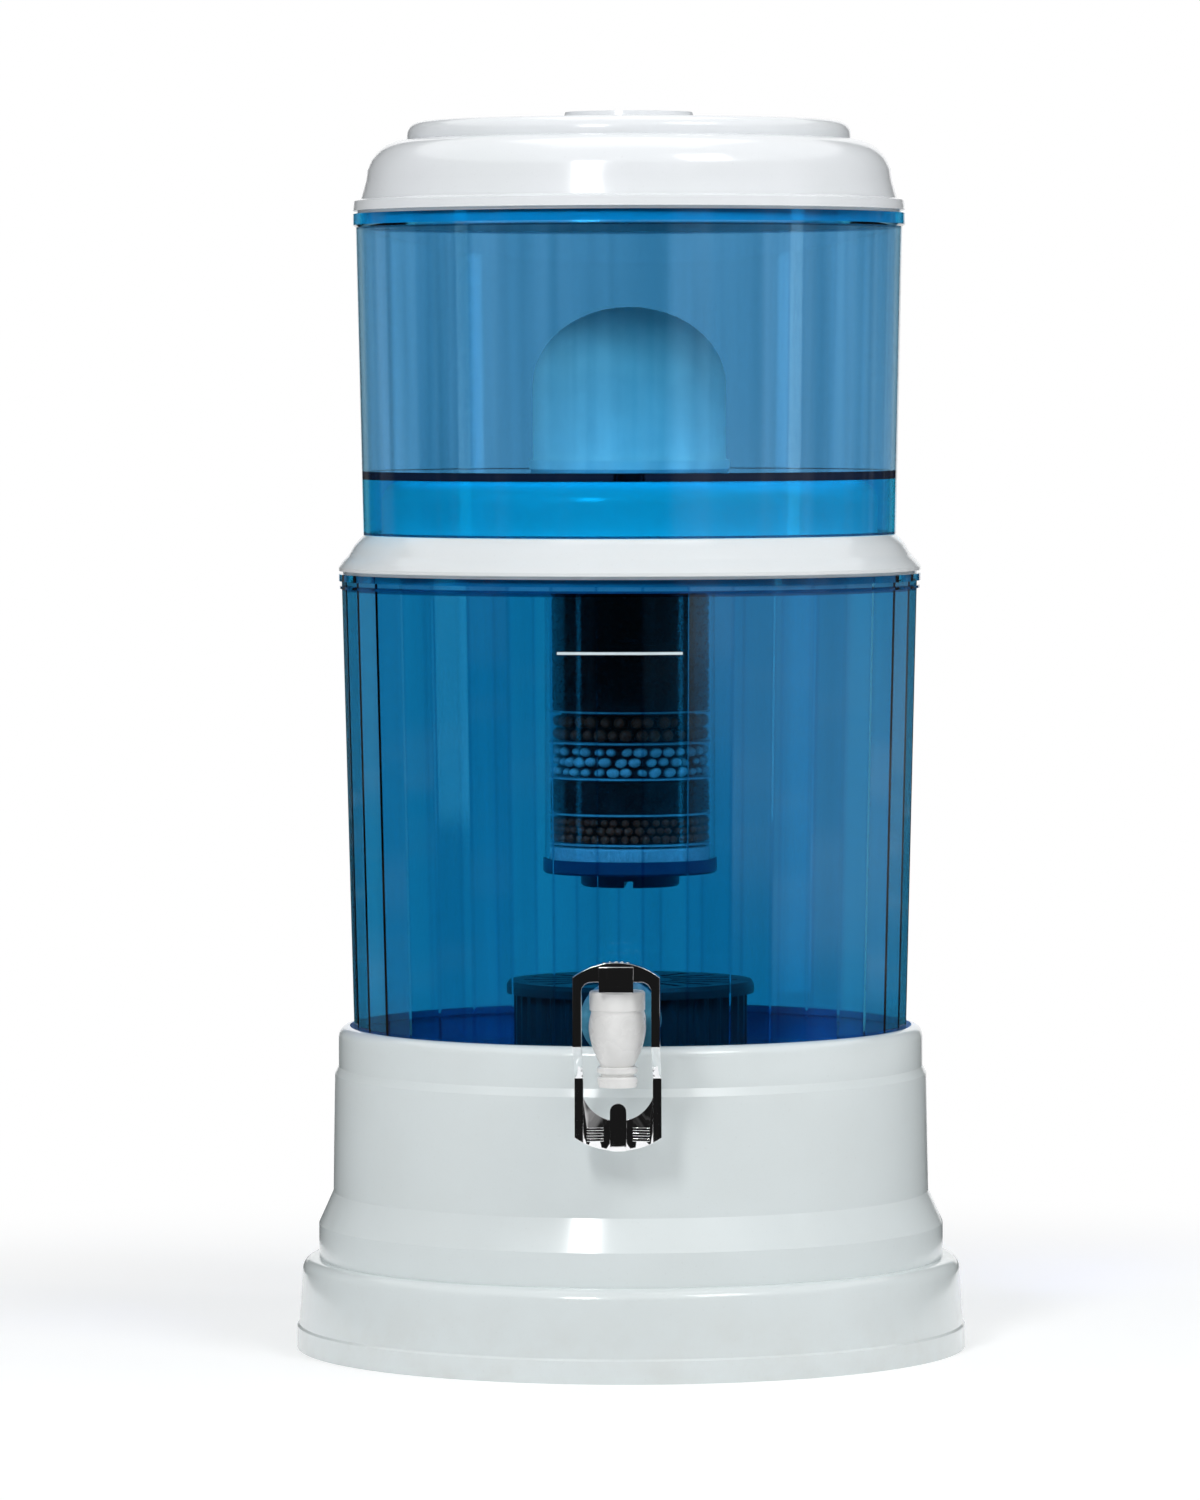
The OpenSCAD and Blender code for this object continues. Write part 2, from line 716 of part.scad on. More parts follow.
module dome_base() {
    r = dome_d / 2 + dish_out;
    bore_r = dome_stem_bore / 2;
    stem_r = dome_stem_d / 2;
    stem_foot = upper_floor_t + dome_nut_h + cart_seal_t + collar_h - cart_wall;
    color("white") translate([0, 0, dome_z]) rotate_extrude() polygon([
        [bore_r, -stem_foot], [stem_r, -stem_foot], [stem_r, gasket_t],
        [gasket_d / 2 + loose, gasket_t], [gasket_d / 2 + loose, 0],
        [r - edge_cut, 0], [r, edge_cut], [r, dish_t + dish_rim_h], [dome_d / 2 + loose, dish_t + dish_rim_h],
        [dome_d / 2 + loose, dish_t], [bore_r, dish_t]
    ]);
}

module dome_gasket() {
    color("gray") translate([0, 0, dome_z]) ring(gasket_d / 2, dome_stem_d / 2 + loose, gasket_t);
}

module dome_nut() {
    r = dome_nut_d / 2;
    color("white") translate([0, 0, upper_floor_z - dome_nut_h]) difference() {
        union() {
            cylinder(r = r, h = dome_nut_h, $fn = 6);
            translate([0, 0, dome_nut_h / 2]) cylinder(r = r, h = dome_nut_h / 2);
        }
        translate([0, 0, -over]) cylinder(d = dome_stem_d + 2 * run_fit, h = dome_nut_h + 2 * over);
    }
}

// Cartridge: a head that screws on the dome's stem, and a clear housing with layers.
module cartridge_head() {
    color("white") rotate_extrude() polygon([
        [dome_stem_d / 2 + run_fit, cart_seal_z], [collar_d / 2, cart_seal_z],
        [collar_d / 2, collar_z], [head_r - head_slope_h / 2, head_slope_z + head_slope_h / 2],
        [head_r, head_slope_z], [head_r, head_z], [cart_r + run_fit, head_z],
        [cart_r + run_fit, head_slope_z - head_top_t], [dome_stem_bore / 2, head_slope_z - head_top_t],
        [dome_stem_bore / 2, head_slope_z], [dome_stem_d / 2 + run_fit, head_slope_z]
    ]);
}

module cartridge_seal() {
    color("dimgray") translate([0, 0, cart_seal_z])
        ring(collar_d / 2 - edge_cut, dome_stem_d / 2 + loose, cart_seal_t);
}

module cartridge_housing() {
    color([0.7, 0.8, 0.85, 0.4]) translate([0, 0, cart_z + cart_foot_t])
        ring(cart_r, cart_in_r, head_slope_z - head_top_t - cart_z - cart_foot_t);
}

module media_screens() {
    color("lightsteelblue")
        for (z = screen_zs)
            translate([0, 0, z - screen_t]) cylinder(r = cart_in_r - run_fit, h = screen_t);
}

module carbon_upper() {
    color([0.08, 0.08, 0.1]) translate([0, 0, carbon_up_z]) cylinder(r = media_r, h = carbon_up_h);
}

module carbon_lower() {
    color([0.08, 0.08, 0.1]) translate([0, 0, carbon_low_z])
        cylinder(r = media_r, h = carbon_low_h - screen_t);
}

// A layer of balls: a plain core with rows of balls round it, set half a ball on.
module ball_layer(ball_d, h) {
    ring_r = media_r - ball_d / 2;
    count = floor(360 / (2 * asin((ball_d / 2 + run_fit) / ring_r)));
    rows = 1 + floor((h - ball_d) / (ball_d * nest_share));
    pitch = (h - ball_d) / max(1, rows - 1);
    for (row = [0:rows - 1])
        for (i = [0:count - 1])
            rotate([0, 0, (i + (row % 2) / 2) * 360 / count])
                translate([ring_r, 0, ball_d / 2 + row * pitch]) sphere(d = ball_d, $fn = ball_fn);
    cylinder(r = ring_r - ball_d / 2 - run_fit, h = h);
}

module mineral_balls_small() {
    color([0.3, 0.2, 0.15]) translate([0, 0, small_z]) ball_layer(small_ball_d, small_h - screen_t);
}

module zeolite_balls() {
    color("powderblue") translate([0, 0, zeolite_z]) ball_layer(zeolite_ball_d, zeolite_h - screen_t);
}

module mineral_balls_large() {
    color([0.3, 0.2, 0.15]) translate([0, 0, large_z]) ball_layer(large_ball_d, large_h - screen_t);
}

module filter_pad() {
    color("aliceblue") translate([0, 0, pad_z]) cylinder(r = media_r, h = pad_h - screen_t);
}

// Foot of the cartridge: a rim round the housing and a nozzle disc with a cross slot.
module cartridge_foot() {
    nozzle_r = nozzle_d / 2;
    rim_r = cart_r + head_out / 2;
    color("navy") difference() {
        translate([0, 0, cart_z]) rotate_extrude() polygon([
            [0, -nozzle_h], [nozzle_r - edge_cut, -nozzle_h], [nozzle_r, edge_cut - nozzle_h], [nozzle_r, 0],
            [rim_r - edge_cut, 0], [rim_r, edge_cut], [rim_r, cart_foot_t + cart_foot_rim_h],
            [cart_r + run_fit, cart_foot_t + cart_foot_rim_h], [cart_r + run_fit, cart_foot_t],
            [0, cart_foot_t]
        ]);
        for (turn = [0, 90])
            rotate([0, 0, turn]) translate([-nozzle_r - over, -nozzle_slot / 2, cart_z - nozzle_h - over])
                cube([nozzle_d + 2 * over, nozzle_slot, nozzle_h / 2 + over]);
    }
}

// Cassette on the lower tank's floor, lifted out for cleaning.
cassette_z = deck_z + lower_floor_t;

module cassette_case() {
    r = cassette_d / 2;
    step = 90 / cassette_ribs;
    color([0.15, 0.2, 0.3]) translate([0, 0, cassette_z]) difference() {
        union() {
            linear_extrude(height = cassette_h) polygon([
                for (i = [0:4 * cassette_ribs - 1])
                (r - (i % 4 < 2 ? cassette_rib : 0)) * [cos(i * step), sin(i * step)]
            ]);
            cylinder(r = r + edge_cut, h = cassette_wall);
        }
        translate([0, 0, cassette_wall])
            cylinder(r = r - cassette_rib - cassette_wall, h = cassette_h);
    }
}

module cassette_lid() {
    r = cassette_lid_d / 2;
    slot_in = r * slot_in_share;
    slot_out = r - 3 * cassette_wall - cassette_rib;
    color([0.12, 0.18, 0.3]) translate([0, 0, cassette_z + cassette_h]) difference() {
        translate([0, 0, cassette_lid_h - cassette_wall]) union() {
            cylinder(r1 = r, r2 = r - edge_cut, h = cassette_wall);
            translate([0, 0, cassette_wall - cassette_lid_h])
                ring(r, r - cassette_wall, cassette_lid_h - cassette_wall);
            translate([0, 0, cassette_wall]) cylinder(r = slot_in / 2, h = cassette_wall / 2);
            translate([0, 0, cassette_wall - cassette_lid_h])
                ring(
                    cassette_d / 2 - cassette_rib, cassette_d / 2 - cassette_rib - cassette_wall,
                    cassette_lid_h - cassette_wall
                );
        }
        for (i = [0:cassette_slots - 1])
            rotate([0, 0, i * 360 / cassette_slots])
                translate([slot_in, -cassette_slot / 2, -over])
                    cube([slot_out - slot_in, cassette_slot, cassette_lid_h + 2 * over]);
    }
}

module cassette_stones() {
    bed_r = cassette_d / 2 - cassette_rib - cassette_wall - stone_d / 2 - loose;
    rings = floor(bed_r / (stone_d + loose));
    color("slategray") translate([0, 0, cassette_z + cassette_wall + stone_d / 2])
        for (k = [0:rings]) {
            ring_r = bed_r * k / rings;
            count = k == 0 ? 1 : floor(360 / (2 * asin((stone_d / 2 + run_fit) / ring_r)));
            for (i = [0:count - 1])
                rotate([0, 0, i * 360 / count]) translate([ring_r, 0, 0]) sphere(d = stone_d, $fn = ball_fn);
        }
}

// Tap body: a bellied barrel with a ringed spout, screwed through the tank's wall.
// The belly's radius falls off from the widest place by a power of the distance.
belly_power = 1.7;
function belly_r(z) =
    z > -barrel_mid
    ? barrel_d / 2 - belly_in * pow((z + barrel_mid) / (barrel_up + barrel_mid), 2)
    : barrel_d / 2 - (barrel_d - waist_d) / 2
        * pow((-barrel_mid - z) / (barrel_down - barrel_mid), belly_power);
ring_z = -barrel_down - ring_h;
spout_z = ring_z - groove_h - spout_h;
tap_belly = [
    for (i = [0:2 * arc_steps])
    let (z = barrel_up - (barrel_up + barrel_down) * i / (2 * arc_steps))
    [belly_r(z), z]
];

module tap_barrel() {
    waist_r = waist_d / 2;
    edge = groove_h / 2;
    color("white") at_tap() difference() {
        union() {
            rotate_extrude() polygon(concat(
                [
                    [0, barrel_up + cap_h - cap_top_t - loose],
                    [spigot_d / 2, barrel_up + cap_h - cap_top_t - loose],
                    [spigot_d / 2, barrel_up]
                ],
                tap_belly,
                [
                    [ring_d / 2 - edge, ring_z + ring_h], [ring_d / 2, ring_z + ring_h - edge],
                    [ring_d / 2, ring_z + edge], [ring_d / 2 - edge, ring_z],
                    [waist_r, ring_z], [waist_r, ring_z - groove_h],
                    [spout_d / 2 - edge, ring_z - groove_h], [spout_d / 2, ring_z - groove_h - edge],
                    [spout_d / 2, spout_z + spout_h / 2],
                    [spout_d / 2 - edge, spout_z], [0, spout_z]
                ]
            ));
            along_y(inlet_d / 2, 0, wall_at - washer_t);
            along_y(tap_flange_d / 2, wall_at - washer_t - tap_flange_t, wall_at - washer_t);
            along_y(thread_d / 2, 0, back_at + thread_len);
        }
        translate([0, 0, -seat_depth]) cylinder(d = chamber_d, h = seat_depth + cap_z);
        translate([0, 0, spout_z - over]) cylinder(d = spout_bore, h = -spout_z);
        along_y(inlet_bore / 2, 0, back_at + thread_len + over);
    }
}

module tap_cap() {
    edge = groove_h / 2;
    r = cap_d / 2;
    color("white") at_tap() rotate_extrude() polygon([
        [bush_d / 2 + run_fit, cap_z - cap_top_t], [spigot_d / 2 + run_fit, cap_z - cap_top_t],
        [spigot_d / 2 + run_fit, barrel_up], [r - edge, barrel_up], [r - edge, barrel_up + edge],
        [r, barrel_up + 2 * edge], [r, cap_z - edge], [r - edge, cap_z],
        [bush_flange_d / 2 + 2 * run_fit, cap_z],
        [bush_flange_d / 2 + 2 * run_fit, cap_z - bush_flange_t],
        [bush_d / 2 + run_fit, cap_z - bush_flange_t]
    ]);
}

module tap_outer_washer() {
    color("gainsboro") at_tap() difference() {
        along_y(tap_flange_d / 2, wall_at - washer_t, wall_at);
        along_y(thread_d / 2 + run_fit, wall_at - washer_t - over, wall_at + over);
    }
}

module tap_inner_washer() {
    color("white") at_tap() difference() {
        along_y(inner_washer_d / 2, back_at, back_at + washer_t);
        along_y(thread_d / 2 + run_fit, back_at - over, back_at + washer_t + over);
    }
}

module tap_nut() {
    at = back_at + washer_t;
    color("white") at_tap() difference() {
        translate([0, at, 0]) rotate([-90, 0, 0]) cylinder(d = tap_nut_d, h = tap_nut_t, $fn = 6);
        along_y(thread_d / 2 + run_fit, at - over, at + tap_nut_t + over);
    }
}

// Guide of the valve stem: it turns in the cap with the stem and the lever.
module stem_bush() {
    bore_r = stem_d / 2 + run_fit;
    color("whitesmoke") at_tap() rotate_extrude() polygon([
        [bore_r, bush_z], [bush_d / 2, bush_z], [bush_d / 2, cap_z - bush_flange_t],
        [bush_flange_d / 2, cap_z - bush_flange_t], [bush_flange_d / 2, cap_z - run_fit],
        [bore_r, cap_z - run_fit]
    ]);
}

// Valve spring: one round wire wound between the stem's collar and the bush.
spring_foot = seal_t + stem_collar_t - seat_depth;
spring_r = (spring_d - wire_d) / 2;
spring_sides = 6;
spring_turn_steps = 12;
spring_low = spring_foot + wire_d / 2 + run_fit;
spring_high = bush_z - wire_d / 2 - run_fit;

function spring_ring(i) =
    let (
        last = spring_turns * spring_turn_steps,
        turn = i * 360 / spring_turn_steps,
        z = spring_low + (spring_high - spring_low) * i / last
    )
    [
        for (s = [0:spring_sides - 1])
        let (a = s * 360 / spring_sides, out = spring_r + wire_d / 2 * cos(a))
        [out * cos(turn), out * sin(turn), z + wire_d / 2 * sin(a)]
    ];

module valve_spring() {
    last = spring_turns * spring_turn_steps;
    sides = spring_sides;
    color("silver") at_tap() polyhedron(
        points = [for (i = [0:last]) each spring_ring(i)],
        faces = concat(
            [[for (s = [0:sides - 1]) s]],
            [
                for (i = [0:last - 1], s = [0:sides - 1])
                [
                    i * sides + s, (i + 1) * sides + s,
                    (i + 1) * sides + (s + 1) % sides, i * sides + (s + 1) % sides
                ]
            ],
            [[for (s = [sides - 1:-1:0]) last * sides + s]]
        )
    );
}

module valve_stem() {
    eye_r = stem_d / 2;
    color("whitesmoke") at_tap() difference() {
        union() {
            translate([0, 0, seal_t / 2 - seat_depth])
                cylinder(d = stem_d, h = pin_z + seat_depth - seal_t / 2);
            translate([0, 0, seal_t - seat_depth]) cylinder(d = stem_collar_d, h = stem_collar_t);
            translate([-eye_r, 0, pin_z]) rotate([0, 90, 0]) cylinder(r = eye_r, h = stem_d);
        }
        translate([-stem_d, 0, pin_z]) rotate([0, 90, 0]) cylinder(d = pin_d + run_fit, h = 2 * stem_d);
    }
}

module valve_seal() {
    color("dimgray") at_tap() translate([0, 0, -seat_depth]) difference() {
        cylinder(d = seal_d, h = seal_t);
        translate([0, 0, seal_t / 2]) cylinder(d = stem_d + run_fit, h = seal_t);
    }
}

module lever_pin() {
    w = hub_w - 2 * loose;
    color("silver") at_tap() translate([-w / 2, 0, pin_z]) rotate([0, 90, 0]) cylinder(d = pin_d, h = w);
}

// Lever: a bow round the barrel. A cam under its hub lifts the stem when the plate
// below the spout is pushed back. Its heights are counted from the top of the cap.
module lever_silhouette() {
    crown_mid = crown_h - crown_r;
    sole_mid = sole_r - lever_len;
    intersection() {
        translate([0, crown_mid]) circle(r = crown_r);
        translate([-lever_w / 2, crown_mid]) square([lever_w, crown_r]);
    }
    translate([-lever_w / 2, sole_mid]) square([lever_w, crown_mid - sole_mid]);
    intersection() {
        translate([0, sole_mid]) circle(r = sole_r);
        translate([-lever_w / 2, sole_mid - sole_r]) square([lever_w, sole_r]);
    }
}

module lever_bow() {
    in_w = lever_w / 2 - arm_w;
    front_extrude(-lever_front, arm_d - lever_front) difference() {
        translate([-lever_w / 2, -kink_top]) square([lever_w, kink_top + crown_h]);
        translate([-in_w, -kink_top - over]) square([2 * in_w, kink_top + over + bow_h - bow_round]);
        translate([bow_round - in_w, 0]) square([2 * (in_w - bow_round), bow_h]);
        for (side = [-1, 1])
            translate([side * (in_w - bow_round), bow_h - bow_round]) circle(r = bow_round);
    }
}

module lever_arm() {
    low = kink_top + kink_h;
    drop = arm_d * kink_drop_share;
    side_extrude(arm_w) polygon([
        [-lever_front, 0], [-lever_front, -kink_top], [-lever_back, -low], [-lever_back, -lever_len],
        [foot_arm_d - lever_back, -lever_len], [foot_arm_d - lever_back, drop - low],
        [arm_d - lever_front, drop - kink_top], [arm_d - lever_front, 0]
    ]);
}

// The push plate: a hollowed wall between the arms, cut to a crescent, with grip ribs
// and a finger at its middle. Its ends stop inside the arms.
module lever_plate() {
    half_w = lever_w / 2 - arm_w / 2;
    end_x = lever_w / 2 - arm_w * (1 - plate_joint_share);
    rib_x = (end_x + finger_w / 2) / 2;
    hollow_r = (pow(half_w, 2) + pow(plate_hollow, 2)) / (2 * plate_hollow);
    hollow_y = plate_hollow - lever_back - hollow_r;
    crescent_h = plate_h + crescent_r;
    grip_h = plate_h * grip_share;
    grip_z = plate_h * grip_rise_share - lever_len;
    intersection() {
        translate([0, hollow_y, -lever_len]) ring(hollow_r + plate_t, hollow_r, crescent_h);
        front_extrude(-lever_back, foot_arm_d - lever_back) difference() {
            translate([-end_x, -lever_len]) square([2 * end_x, crescent_h]);
            translate([0, crescent_h - lever_len]) circle(r = crescent_r);
        }
    }
    intersection() {
        translate([0, hollow_y, -lever_len]) ring(hollow_r + plate_t / 2, hollow_r - grip_h / 2, plate_h);
        front_extrude(-lever_back, foot_arm_d - lever_back)
            for (side = [-1, 1], i = [0:2])
                translate([side * rib_x - finger_w / 2, grip_z + 2 * i * grip_h])
                    square([finger_w, grip_h]);
    }
    front_extrude(edge_cut / 2 - lever_back, plate_hollow + plate_t / 2 - lever_back) {
        translate([-finger_w / 2, -lever_len]) square([finger_w, finger_h - finger_w / 2]);
        translate([0, finger_h - finger_w / 2 - lever_len]) circle(d = finger_w);
    }
}

// The hub over the stem, with a block in front of the crown, the cam under it and
// the bore for the pin.
module lever_hub() {
    difference() {
        union() {
            side_extrude(hub_w - loose) union() {
                translate([-cam_reach, pin_h]) circle(r = pin_h);
                translate([-cam_reach, 0]) square([cam_reach + hub_back, hub_h]);
                translate([-lever_front, pin_h]) square([lever_front, hub_h - pin_h]);
            }
            front_extrude(-lever_front - block_out, edge_cut - lever_front)
                translate([-hub_w / 2, loose]) square([hub_w, crown_h - block_drop - loose]);
        }
        translate([-stem_d / 2 - 2 * loose, -stem_d * stem_room_share, -over])
            cube([stem_d + 4 * loose, 2 * stem_d * stem_room_share, over + pin_h + stem_d / 2 + 2 * loose]);
        translate([-hub_w, 0, pin_h]) rotate([0, 90, 0]) cylinder(d = pin_d + 2 * run_fit, h = 2 * hub_w);
    }
}

// Ridges across the top of the crown, turned about the middle of its arch.
module crown_ridges() {
    for (i = [0:ridges - 1])
        translate([0, 0, crown_h - crown_r])
            rotate([0, (i - (ridges - 1) / 2) * asin(ridge_pitch / crown_r), 0])
                translate([0, 0, crown_r])
                    along_y(ridge_r, edge_cut - lever_front, arm_d - edge_cut - lever_front);
}

module lever() {
    color("silver") at_tap() translate([0, 0, cap_z]) {
        intersection() {
            front_extrude(-lever_front - over, hub_back + lever_front) lever_silhouette();
            union() {
                lever_bow();
                for (side = [-1, 1])
                    translate([side * (lever_w - arm_w) / 2, 0, 0]) lever_arm();
                lever_plate();
            }
        }
        lever_hub();
        crown_ridges();
    }
}

base_shell();
base_deck();
lower_tank();
mid_cover();
upper_tank();
lid();
dome_filter();
dome_base();
dome_gasket();
dome_nut();
cartridge_head();
cartridge_seal();
cartridge_housing();
media_screens();
carbon_upper();
mineral_balls_large();
zeolite_balls();
carbon_lower();
mineral_balls_small();
filter_pad();
cartridge_foot();
cassette_case();
cassette_lid();
cassette_stones();
tap_barrel();
tap_cap();
tap_outer_washer();
tap_inner_washer();
tap_nut();
stem_bush();
valve_spring();
valve_stem();
valve_seal();
lever_pin();
lever();
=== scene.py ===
import math
import random

import bmesh
import bpy
from mathutils import Matrix, Vector, noise


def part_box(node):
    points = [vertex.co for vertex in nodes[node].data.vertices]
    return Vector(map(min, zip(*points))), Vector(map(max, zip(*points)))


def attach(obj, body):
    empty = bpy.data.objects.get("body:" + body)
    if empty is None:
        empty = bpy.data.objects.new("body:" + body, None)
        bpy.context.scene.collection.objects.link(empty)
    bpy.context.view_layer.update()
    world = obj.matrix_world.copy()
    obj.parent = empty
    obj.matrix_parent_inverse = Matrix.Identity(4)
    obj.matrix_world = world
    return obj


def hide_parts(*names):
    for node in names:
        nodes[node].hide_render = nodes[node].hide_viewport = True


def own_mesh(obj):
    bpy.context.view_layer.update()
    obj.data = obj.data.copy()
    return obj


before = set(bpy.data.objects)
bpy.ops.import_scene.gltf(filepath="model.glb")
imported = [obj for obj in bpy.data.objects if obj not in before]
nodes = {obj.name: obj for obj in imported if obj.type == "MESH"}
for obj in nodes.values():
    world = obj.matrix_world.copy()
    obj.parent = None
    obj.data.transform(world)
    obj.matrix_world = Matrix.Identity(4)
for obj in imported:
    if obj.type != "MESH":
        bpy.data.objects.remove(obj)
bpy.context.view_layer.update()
mm = 0.001
fullTurn = 2 * math.pi

# The filter stands on a pale floor, seen from a little above its middle.
shot = {
    "distance": 3.6726,  # level distance from the tanks' axis
    "eyeHeight": 0.4324,
    "azimuth": 2.0,  # degrees to the right of the tap
    "turn": 0.21,
    "tilt": 2.57,
    "roll": -0.12,
    "lens": 131.2,
    "sensorHeight": 24.0,
}


def placeCamera():
    data = bpy.data.cameras.new("camera")
    data.sensor_fit = "VERTICAL"
    data.sensor_height = shot["sensorHeight"]
    data.lens = shot["lens"]
    eye = bpy.data.objects.new("camera", data)
    bpy.context.scene.collection.objects.link(eye)
    side = math.radians(shot["azimuth"])
    eye.location = (
        shot["distance"] * math.sin(side),
        -shot["distance"] * math.cos(side),
        shot["eyeHeight"],
    )
    aim = (
        Matrix.Rotation(side + math.radians(shot["turn"]), 4, "Z")
        @ Matrix.Rotation(math.radians(90 - shot["tilt"]), 4, "X")
        @ Matrix.Rotation(math.radians(shot["roll"]), 4, "Z")
    )
    eye.rotation_euler = aim.to_euler()
    bpy.context.scene.camera = eye


placeCamera()
print("stage: camera placed")


# A number in a node tree, so that shader maths reads as plain arithmetic.
class Amount:
    def __init__(self, finish, socket):
        self.finish = finish
        self.socket = socket

    def sum(self, operation, first, second=None):
        values = {0: first} if second is None else {0: first, 1: second}
        return self.finish.add("ShaderNodeMath", {"operation": operation}, values)

    def __add__(self, other):
        return self.sum("ADD", self, other)

    __radd__ = __add__

    def __sub__(self, other):
        return self.sum("SUBTRACT", self, other)

    def __rsub__(self, other):
        return self.sum("SUBTRACT", other, self)

    def __mul__(self, other):
        return self.sum("MULTIPLY", self, other)

    __rmul__ = __mul__

    def __truediv__(self, other):
        return self.sum("DIVIDE", self, other)

    def __abs__(self):
        return self.sum("ABSOLUTE", self)

    def __floor__(self):
        return self.sum("FLOOR", self)

    def low(self, other):
        return self.sum("MINIMUM", self, other)

    # Back and forth between 0 and a width.
    def folded(self, width):
        return self.sum("PINGPONG", self, width)

    # Its angle with another one, in degrees.
    def angle(self, other):
        return self.sum("ARCTAN2", self, other) * (180 / math.pi)


# A material or a world in the making. Every node but the maths comes from add().
class Finish:
    def __init__(self, name, owner=None):
        self.material = owner or bpy.data.materials.new(name)
        self.material.use_nodes = True
        self.tree = self.material.node_tree
        self.tree.nodes.clear()
        self.place = self.add("ShaderNodeTexCoord", out="Object")

    def add(self, kind, settings=None, values=None, out=0):
        node = self.tree.nodes.new(kind)
        for name, value in (settings or {}).items():
            setattr(node, name, value)
        for name, value in (values or {}).items():
            self.feed(node.inputs[name], value)
        return node if out is None else Amount(self, node.outputs[out])

    def feed(self, socket, value):
        if isinstance(value, Amount):
            self.tree.links.new(value.socket, socket)
        else:
            socket.default_value = value

    def noise(self, size, detail, rough=0.5, at=None):
        return self.add(
            "ShaderNodeTexNoise",
            values={
                "Vector": at or self.place, "Scale": 1 / size, "Detail": detail,
                "Roughness": rough,
            },
        )

    def cells(self, size, out="Distance"):
        return self.add(
            "ShaderNodeTexVoronoi", values={"Vector": self.place, "Scale": 1 / size}, out=out
        )

    # The pattern's place, stretched by three factors.
    def stretch(self, scale):
        return self.add("ShaderNodeMapping", values={"Vector": self.place, "Scale": scale})

    # How far along an axis of the object.
    def along(self, axis):
        parts = self.add("ShaderNodeSeparateXYZ", values={0: self.place}, out=None)
        return Amount(self, parts.outputs[axis])

    # Distance from the tanks' axis.
    def away(self):
        flat = self.stretch((1, 1, 0))
        return self.add("ShaderNodeVectorMath", {"operation": "LENGTH"}, {0: flat}, 1)

    # Degrees round the tanks' axis; the tap is at -90.
    def around(self):
        return self.along("Y").angle(self.along("X"))

    # From 0 at low to 1 at high.
    def fade(self, value, low, high):
        return self.add(
            "ShaderNodeMapRange", {"interpolation_type": "SMOOTHSTEP"},
            {"Value": value, "From Min": low, "From Max": high},
        )

    # 1 between two values and 0 outside, with a soft edge.
    def within(self, value, low, high, soft):
        rise = self.fade(value, low - soft, low + soft)
        return rise * (1 - self.fade(value, high - soft, high + soft))

    def blend(self, share, first, second):
        return self.add(
            "ShaderNodeMix", {"data_type": "RGBA"}, {0: share, 6: first, 7: second}, 2
        )

    def bump(self, height, distance, strength=1.0, under=None):
        values = {"Height": height, "Distance": distance, "Strength": strength}
        if under is not None:
            values["Normal"] = under
        return self.add("ShaderNodeBump", values=values)

    # Rounds edges in the shading.
    def rounded(self, radius):
        return self.add("ShaderNodeBevel", {"samples": 6}, {"Radius": radius})

    def surface(self, values, lampTint=None):
        shader = self.add("ShaderNodeBsdfPrincipled", values=values)
        if lampTint is not None:  # lamps shine through it on what is inside
            through = self.add("ShaderNodeBsdfTransparent", values={"Color": lampTint})
            lampRay = self.add("ShaderNodeLightPath", out="Is Shadow Ray")
            shader = self.mixed(lampRay, shader, through)
        return self.done(shader)

    def mixed(self, share, first, second):
        return self.add("ShaderNodeMixShader", values={0: share, 1: first, 2: second})

    def done(self, shader, output="ShaderNodeOutputMaterial"):
        self.add(output, values={"Surface": shader}, out=None)
        return self.material


def colour(red, green, blue):
    return (red, green, blue, 1.0)


# A colour with its three parts scaled.
def scaled(shade, share):
    return colour(*(part * share for part in shade[:3]))


black = colour(0, 0, 0)
white = colour(1, 1, 1)


# A bmesh as an object at the origin, in one material.
def makeObject(name, shape, material):
    mesh = bpy.data.meshes.new(name)
    shape.to_mesh(mesh)
    shape.free()
    mesh.materials.append(material)
    made = bpy.data.objects.new(name, mesh)
    bpy.context.scene.collection.objects.link(made)
    return made


# A piece from a bmesh: smooth up to an angle, riding on a CAD body. If it stands for a CAD
# node, that node is hidden.
def makePiece(name, shape, material, body, sharp, stands=None):
    for face in shape.faces:
        face.smooth = True
    for edge in shape.edges:
        if len(edge.link_faces) == 2:
            edge.smooth = edge.calc_face_angle(0) < math.radians(sharp)
    piece = makeObject(name, shape, material)
    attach(piece, body)
    if stands is not None:
        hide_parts(stands)
    return piece


# Points closer than this are made one.
weld = {"copies": 0.002 * mm, "turned": 0.001 * mm}


# A merged copy of a CAD node's mesh, to be worked on.
def mergedCopy(node):
    shape = bmesh.new()
    shape.from_mesh(nodes[node].data)
    bmesh.ops.remove_doubles(shape, verts=shape.verts, dist=weld["copies"])
    for face in shape.faces:
        face.material_index = 0
    return shape


# Sweeps a line of (radius, height) round the axis, from a bearing in degrees.
def sweep(line, start, angle, steps, closed):
    shape = bmesh.new()
    side = math.radians(start)
    points = [
        shape.verts.new((radius * math.cos(side), radius * math.sin(side), height))
        for radius, height in line
    ]
    edges = [shape.edges.new(pair) for pair in zip(points, points[1:])]
    bmesh.ops.spin(
        shape, geom=points + edges, cent=(0, 0, 0), axis=(0, 0, 1), dvec=(0, 0, 0),
        angle=math.radians(angle), steps=steps, use_merge=closed,
    )
    return shape


# A turned solid with its poles on the axis.
def turned(profile, steps):
    shape = sweep(profile, 0, 360, steps, True)
    bmesh.ops.remove_doubles(shape, verts=shape.verts, dist=weld["turned"])
    bmesh.ops.recalc_face_normals(shape, faces=shape.faces)
    return shape


# A point round the tanks' axis.
def roundAxis(away, turn, height):
    return Vector((away * math.cos(turn), away * math.sin(turn), height))


